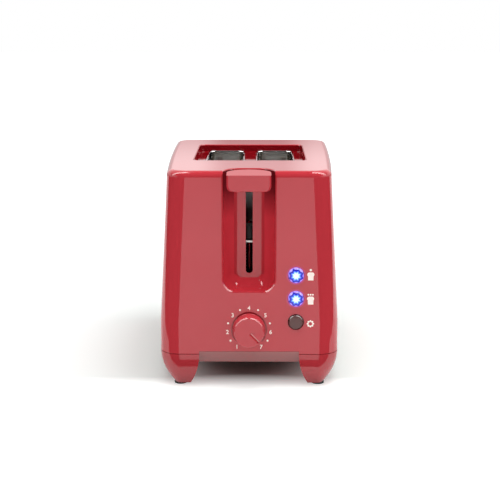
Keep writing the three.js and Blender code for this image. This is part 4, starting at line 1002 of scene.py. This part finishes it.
section = [(-POINTER_HALF_WIDTH, mouth), (POINTER_HALF_WIDTH, mouth)]
section += [(POINTER_ROOT, root), (-POINTER_ROOT, root)]
groove = [
    [(reach * sine + cosine * x, y, DIAL_HEIGHT + reach * cosine - sine * x) for x, y in section]
    for reach in (POINTER_START, DIAL_FACE - OVERCUT)
]
combine(dial, [loft("groove", groove)])
dial.name = "dial_cap"
settle(soften(dial, width=0.12, crease=30), "dial", knob_red, "red_plastic", "browning_dial")
dial.data.materials.append(cone_painted_light_red)
dial.data.materials.append(pointer_painted_highlight)
for face in dial.data.polygons:
    x, y, z = face.center / MM
    radius = math.hypot(x, z - DIAL_HEIGHT)
    # Painted light: the dial's sloping side gets the lighter red.
    if radius > DIAL_FACE - 0.3 and -0.6 < face.normal.y < -0.05:
        face.material_index = 1
    # Painted highlight: one wall of the pointer groove gets the pale pink.
    across = face.normal.x * cosine - face.normal.z * sine
    if radius < DIAL_FACE - FACE_BEVEL and -0.9 < face.normal.y < -0.3 and across > 0.3:
        face.material_index = 2

# Button caps
reach = BUTTON_REACH + BUTTON_SEAT - FRONT
profile = [(0, STEM_END), (STEM_RADIUS, STEM_END), (STEM_RADIUS, FLANGE_BACK), (FLANGE_RADIUS, FLANGE_BACK)]
profile += [(FLANGE_RADIUS, 0), (BUTTON_RADIUS, 0), (BUTTON_RADIUS, reach - CAP_SIDE_DROP)]
profile += [(BUTTON_RADIUS - CAP_EDGE, reach - CAP_EDGE_DROP), (CROWN_RADIUS, reach - CROWN_DROP), (0, reach)]
for body, height in zip(("upper_button", "middle_button", "lower_button"), BUTTON_HEIGHTS):
    row = body.split("_")[0]
    cap = lathe("cap_" + body, profile, (BUTTON_X, BUTTON_SEAT, height), 64)
    lit = row != "lower"
    lens = lit_lens(row + "_lamp_lens", BUTTON_X, height) if lit else smoked
    soften(cap, width=0.12, crease=30)
    settle(cap, body, lens, "lit_lens" if lit else "smoked_lens", "button_" + row)
    cap.data.materials.append(black_plastic)
    for face in cap.data.polygons:
        if face.center.y > (BUTTON_SEAT + CASING_SHIFT - 0.5) * MM:
            face.material_index = 1


# Printed numbers, dots and signs
def printed_text(name, word, x, z, size):
    curve = bpy.data.curves.new(name, "FONT")
    curve.body = word
    curve.size = size * MM
    curve.align_x = "CENTER"
    curve.align_y = "CENTER"
    curve.offset = PRINT_BOLDNESS * MM
    curve.extrude = PRINT_DEPTH * MM
    text = bpy.data.objects.new(name, curve)
    bpy.context.scene.collection.objects.link(text)
    mesh = bpy.data.meshes.new_from_object(text.evaluated_get(bpy.context.evaluated_depsgraph_get()))
    bpy.data.objects.remove(text)
    for vertex in mesh.vertices:
        px, py, pz = vertex.co
        vertex.co = (px + x * MM, (PRINT_PLANE + CASING_SHIFT) * MM - pz, py + z * MM)
    piece = bpy.data.objects.new(name, mesh)
    bpy.context.scene.collection.objects.link(piece)
    return settle(piece, "toaster_body", cream, "cream_ink")


def printed_shape(name, outline):
    """A thin ink shape on the front, its outline given in x and z."""
    rings = [[(x, y, z) for x, z in outline] for y in (PRINT_PLANE, PRINT_PLANE - INK)]
    return settle(loft(name, rings), "toaster_body", cream, "cream_ink")


def beside_dial(angle):
    return NUMBER_RING * math.sin(angle), DIAL_HEIGHT + NUMBER_RING * math.cos(angle)


for number in range(1, 8):
    printed_text(f"dial_number_{number}", str(number), *beside_dial((number - 4) * NUMBER_STEP), PRINT_SIZE)


def printed_dots(name, radius, spots):
    """Round ink dots, each spot given in x and z."""
    form = lathe("dot", [(0, 0), (radius, 0), (radius, INK), (0, INK)], (0, 0, 0), 24)
    places = [(x, PRINT_PLANE, z) for x, z in spots]
    return settle(copies(name, form, places, cream), "toaster_body", cream, "cream_ink")


printed_dots("dial_dots", DOT_RADIUS, [beside_dial((i - 2.5) * NUMBER_STEP) for i in range(6)])

# Toast slice, drawn as its right half from the bottom up
TOAST_HALF = ((2.3, -3.4), (2.4, 0.2), (2.9, 0.9), (3.0, 2.0), (2.5, 3.0), (1.5, 3.5))


def toast(z):
    left_half = [(-x, y) for x, y in reversed(TOAST_HALF)]
    return [(SIGN_X + x, z + y) for x, y in [*TOAST_HALF, *left_half]]


upper, middle, lower = BUTTON_HEIGHTS
printed_shape("toast_sign", toast(upper - TOAST_DROP))
printed_shape("defrost_sign", toast(middle - DEFROST_DROP))
printed_dots("toast_mark", 1.0, [(SIGN_X, upper + TOAST_MARK_RISE)])
marks = [(SIGN_X + step * DEFROST_MARK_STEP, middle + DEFROST_MARK_RISE) for step in (-1, 0, 1)]
printed_dots("defrost_marks", 0.75, marks)
petals = [math.pi * i / 4 for i in range(8)]
centre = lower - CANCEL_DROP
spots = [(SIGN_X + PETAL_RING * math.sin(a), centre + PETAL_RING * math.cos(a)) for a in petals]
printed_dots("frost_sign", DOT_RADIUS, spots)

# Pads and gland
profile = [(0, 0), (PAD_RADIUS - 0.5, 0), (PAD_RADIUS - 0.15, 0.15), (PAD_RADIUS, 0.5)]
profile += [(PAD_RADIUS, PAD_HEIGHT), (0, PAD_HEIGHT)]
pad = lathe("pad", profile, (0, 0, 0), 48, "up")
pad_spots = [(x, y, 0) for x, y in PAD_PLACES]
pad_nodes = ["foot_pad_front_left", "foot_pad_rear_left", "foot_pad_front_right", "foot_pad_rear_right"]
pads = soften(copies("foot_pads", pad, pad_spots, rubber), crease=50)
settle(pads, "toaster_body", rubber, "rubber_pad", *pad_nodes)

profile = [(GLAND_BORE, 0.3 - GLAND_BACK), (GLAND_BORE + 0.4, -GLAND_BACK), (GLAND_FLANGE - 0.8, -GLAND_BACK)]
profile += [(GLAND_FLANGE - 0.2, 0.3 - GLAND_BACK), (GLAND_FLANGE, 0.8 - GLAND_BACK), (GLAND_FLANGE, -0.3)]
profile += [(GLAND_NECK, -0.3), (GLAND_NECK, WALL + 0.3), (GLAND_FLANGE, WALL + 0.3)]
profile += [(GLAND_FLANGE, GLAND_INNER), (GLAND_BORE, GLAND_INNER), (GLAND_BORE, 0.3 - GLAND_BACK)]
gland = lathe("gland_bush", profile, (GLAND_X, REAR, GLAND_HEIGHT), 48)
settle(soften(gland, crease=40), "toaster_body", black_plastic, "dark_plastic", "cord_gland")


# Return spring
def spring_rings():
    """Rings along the coil, whose end turns lie close together."""
    rings = []
    steps = TURN_STEPS * SPRING_TURNS
    closed = SPRING_END_TURNS / SPRING_TURNS
    rise = SPRING_TOP - SPRING_FOOT - 2 * SPRING_WIRE * (1 + 2 * SPRING_END_TURNS)
    for i in range(steps + 1):
        turn = i / TURN_STEPS
        eased = min(max((i / steps - closed) / (1 - 2 * closed), 0), 1)
        ends = min(turn, SPRING_END_TURNS) + max(turn - SPRING_TURNS + SPRING_END_TURNS, 0)
        height = SPRING_FOOT + SPRING_WIRE + 2 * SPRING_WIRE * ends + rise * eased
        ring = []
        for j in range(8):
            across = 2 * math.pi * j / 8
            radius = SPRING_RADIUS + SPRING_WIRE * math.cos(across)
            round_turn = 2 * math.pi * turn
            x, y = radius * math.cos(round_turn), SPRING_PLACE + radius * math.sin(round_turn)
            ring.append((x, y, height + SPRING_WIRE * math.sin(across)))
        rings.append(ring)
    return rings


spring = loft("return_spring_coil", spring_rings())
settle(spring, "toaster_body", coil_steel, "spring_steel", "return_spring")
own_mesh(spring)

# Wire guides beside the bread
for side, centre in SIDES:
    for place, way in (("outer", side), ("inner", -side)):
        name = f"{centre}_{place}"
        x = side * SLOT_SPACING / 2 + way * GUIDE_AWAY
        wires = grow(
            mesh_piece("guide_wires_" + name, [(0, 0, 0)], []), GUIDE, GUIDE_NAMES,
            Uprights=GUIDE_UPRIGHTS, Wire_Radius=GUIDE_WIRE * MM, Height=GUIDE_HEIGHT * MM,
            Row_Length=GUIDE_ROW * MM, Rail_Length=GUIDE_RAIL * MM, Finish=guide_steel,
        )
        wires.data.transform(Matrix.Translation((x * MM, GUIDE_Y * MM, GUIDE_Z * MM)))
        settle(soften(wires, crease=50), "guide_" + name, guide_steel, "sheet_steel", "bread_guide_" + name)

# CAD nodes that are shown as they are. The first start that fits a node's name gives its finish.
FINISHES = {
    "base_screw": guide_steel, "oven": plated_steel, "guide_bush": black_plastic,
    "reflector": plated_steel, "heater_card": mica, "heater_wire": heater_wire, "guide_rod": chrome,
    "guide_": slot_shade_dark_steel, "bread_rack": guide_steel, "carriage_bracket": plated_steel,
    "keeper": plated_steel, "lever_arm": slot_shade_dark_steel, "control_board": board_resin,
    "power_board": board_resin, "potentiometer": black_plastic, "dial_shaft": black_plastic,
    "switch": black_plastic, "magnet_core": plated_steel, "magnet_coil": copper,
    "crumb_tray": tray_steel, "tray_handle": casing_red,
}
for name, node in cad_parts.items():
    node.data.materials.clear()
    for start, material in FINISHES.items():
        if name.startswith(start):
            node.data.materials.append(material)
            break
    else:
        if not node.hide_render:
            node.data.materials.append(casing_red)


# Studio: floor, planes that only reflections see, world and lights, in metres
EVERY_RAY = ("camera", "diffuse", "glossy", "transmission", "volume_scatter", "shadow")
FLOOR_HALF = 8
STUDIO_HALF = 5
STUDIO_FRONT = -3
CEILING = 2.2
CEILING_REAR = 0.9
FLAG_FLOOR = 0.004
FOOT_FLAG = 0.003
FRONT_FLAG_FOOT = 0.02
FACE_HEIGHT = 1.4
FACE_SIDE = 0.12
FACE_FRONT = -0.36
FACE_REAR = 1.2
BACKDROP_REAR = 1.5
BACKDROP_TOP = 1.5
PAPER_WHITE = (0.82, 0.82, 0.82)
PAINTED_SHADOW_PAPER = (0.26, 0.32, 0.30)
PAINTED_HALF_SHADOW_PAPER = (0.73, 0.83, 0.79)


def studio_plane(name, corners, material, seen_by=("glossy",)):
    mesh = bpy.data.meshes.new(name)
    mesh.from_pydata(corners, [], [tuple(range(len(corners)))])
    plane = bpy.data.objects.new(name, mesh)
    bpy.context.scene.collection.objects.link(plane)
    plane.data.materials.append(material)
    for ray in EVERY_RAY:
        setattr(plane, "visible_" + ray, ray in seen_by)
    plane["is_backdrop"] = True


def level_corners(x0, x1, y0, y1, z):
    return [(x0, y0, z), (x1, y0, z), (x1, y1, z), (x0, y1, z)]


def upright_corners(half, y, z0, z1):
    return [(-half, y, z0), (half, y, z0), (half, y, z1), (-half, y, z1)]


def glow(name, level, color=(0, 0, 0)):
    """A matt material that gives off white light."""
    material, principled = shader(name, color, 0.9)
    principled.inputs["Specular IOR Level"].default_value = 0
    principled.inputs["Emission Color"].default_value = (1, 1, 1, 1)
    principled.inputs["Emission Strength"].default_value = level
    return material


def level_by(material, value, *steps):
    """The sum of several smooth rises, each given as the range that it rises in and its height."""
    total = 0
    for start, end, height in steps:
        rise = wire(
            material, "ShaderNodeMapRange", {"Value": value}, from_min=start, from_max=end, to_max=height,
            interpolation_type="SMOOTHSTEP",
        )
        total = math_node(material, "ADD", total, rise.outputs["Result"])
    return total


def seen_rays(holder):
    """1 for camera, glossy and transmission rays, 0 for the rays that light the object."""
    path = wire(holder, "ShaderNodeLightPath").outputs
    seen = math_node(holder, "MAXIMUM", path["Is Camera Ray"], path["Is Glossy Ray"])
    return math_node(holder, "MAXIMUM", seen, path["Is Transmission Ray"])


# The floor is shadowed near the object and lifted to white farther out and in front, both painted: its colour
# is darker and greenish near the object, and a glow that only seen rays meet grows with distance and towards
# the front.
paper = glow("studio_paper", 0, PAPER_WHITE)
squeeze = wire(paper, "ShaderNodeMapping", {"Vector": object_place(paper)})
squeeze.inputs["Scale"].default_value = (1, 0.55, 0)
apart = wire(paper, "ShaderNodeVectorMath", {0: squeeze.outputs["Vector"]}, operation="LENGTH")
apart = apart.outputs["Value"]
round_lift = level_by(paper, apart, (0.038, 0.096, 0.18), (0.15, 0.5, 0.6))
front_lift = mapped(paper, object_axis(paper, "Y"), (-0.081, -0.118), (0, 0.6))
lift = math_node(paper, "MAXIMUM", round_lift, front_lift)
feed(paper, math_node(paper, "MULTIPLY", lift, seen_rays(paper)), "Emission Strength")
painted_shadow_tone = wire(paper, "ShaderNodeValToRGB", {"Fac": mapped(paper, apart, (0.03, 0.23), (0, 1))})
painted_shadow_tone.color_ramp.elements[0].color = (*PAINTED_SHADOW_PAPER, 1)
painted_shadow_tone.color_ramp.elements[1].color = (*PAPER_WHITE, 1)
painted_shadow_tone.color_ramp.elements.new(0.2).color = (*PAINTED_HALF_SHADOW_PAPER, 1)
feed(paper, painted_shadow_tone.outputs["Color"], "Base Color")
floor = level_corners(-FLOOR_HALF, FLOOR_HALF, -FLOOR_HALF, FLOOR_HALF, 0)
studio_plane("studio_floor", floor, paper, EVERY_RAY)

# Dark flags keep the reflections of the casing's sides, feet and front deep.
dark = glow("studio_flag", 0)
for side, name in SIDES:
    outline = [(0.058, -0.137), (0.22, -0.16), (1.06, 0.55), (2.0, 1.3)]
    outline += [(STUDIO_HALF, 1.3), (STUDIO_HALF, -5), (1.1, -5)]
    studio_plane("flag_floor_" + name, [(side * x, y, FLAG_FLOOR) for x, y in outline], dark)
    corners = level_corners(side * 0.040, side * 0.066, -0.166, -0.139, FOOT_FLAG)
    studio_plane("flag_foot_" + name, corners, dark)
studio_plane("flag_front", upright_corners(STUDIO_HALF, STUDIO_FRONT, FRONT_FLAG_FOOT, CEILING), dark)
ceiling = level_corners(-STUDIO_HALF, STUDIO_HALF, STUDIO_FRONT, CEILING_REAR, CEILING)
studio_plane("flag_ceiling", ceiling, dark)

# Bright faces above, on the left and right of the knob, fade outwards and to the back.
bright = glow("softbox_face", 1)
aside = math_node(bright, "ABSOLUTE", object_axis(bright, "X"))
slant = math_node(bright, "MULTIPLY_ADD", aside, -0.12, object_axis(bright, "Y"))
level = math_node(
    bright, "MULTIPLY", mapped(bright, aside, (0.3, 2.2), (11, 5)), mapped(bright, slant, (0, 0.15), (1, 0.1))
)
feed(bright, level, "Emission Strength")
for side, name in SIDES:
    corners = level_corners(side * FACE_SIDE, side * STUDIO_HALF, FACE_FRONT, FACE_REAR, FACE_HEIGHT)
    studio_plane("face_" + name, corners, bright)

# The backdrop gives the top its pale sheen.
rear = glow("rear_backdrop", 1)
low_part = level_by(rear, object_axis(rear, "Z"), (-0.1, 0.0, 0.25), (0.30, 0.38, 0.5))
side_part = level_by(rear, math_node(rear, "ABSOLUTE", object_axis(rear, "X")), (0.05, 0.13, 0.4))
feed(rear, math_node(rear, "ADD", low_part, side_part), "Emission Strength")
studio_plane("rear_backdrop", upright_corners(STUDIO_HALF, BACKDROP_REAR, 0, BACKDROP_TOP), rear)

world = bpy.data.worlds.new("studio_world")
world.use_nodes = True
bpy.context.scene.world = world
background = world.node_tree.nodes["Background"]
background.inputs["Color"].default_value = (1, 1, 1, 1)
strength = mapped(world, seen_rays(world), (0, 1), (0.6, 1.0))
world.node_tree.links.new(strength, background.inputs["Strength"])


def softbox(name, place, aim, size, power):
    light = bpy.data.lights.new(name, "AREA")
    light.shape = "SQUARE"
    light.size = size
    light.energy = power
    lamp = bpy.data.objects.new(name, light)
    lamp.location = place
    lamp.rotation_euler = (Vector(aim) - Vector(place)).to_track_quat("-Z", "Y").to_euler()
    lamp.visible_glossy = False
    bpy.context.scene.collection.objects.link(lamp)


softbox("fill_softbox", place=(0.05, -0.35, 1.35), aim=(0, -0.1, 0), size=0.8, power=8)
softbox("key_softbox", place=(0.42, 0.03, 1.35), aim=(0, 0, 0), size=0.55, power=5.5)

# Camera at the photograph's place
CAMERA_PLACE = (0.0096, -1.2285, 0.3243)
CAMERA_DOWN = 10.45
CAMERA_TURN = 0.456
CAMERA_LENS = 95.48
camera_data = bpy.data.cameras.new("camera")
camera_data.sensor_width = 36
camera_data.lens = CAMERA_LENS
camera = bpy.data.objects.new("camera", camera_data)
camera.location = CAMERA_PLACE
camera.rotation_euler = (math.radians(90 - CAMERA_DOWN), 0, math.radians(CAMERA_TURN))
bpy.context.scene.collection.objects.link(camera)
bpy.context.scene.camera = camera

bpy.context.scene.view_settings.view_transform = "Standard"

low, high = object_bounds()
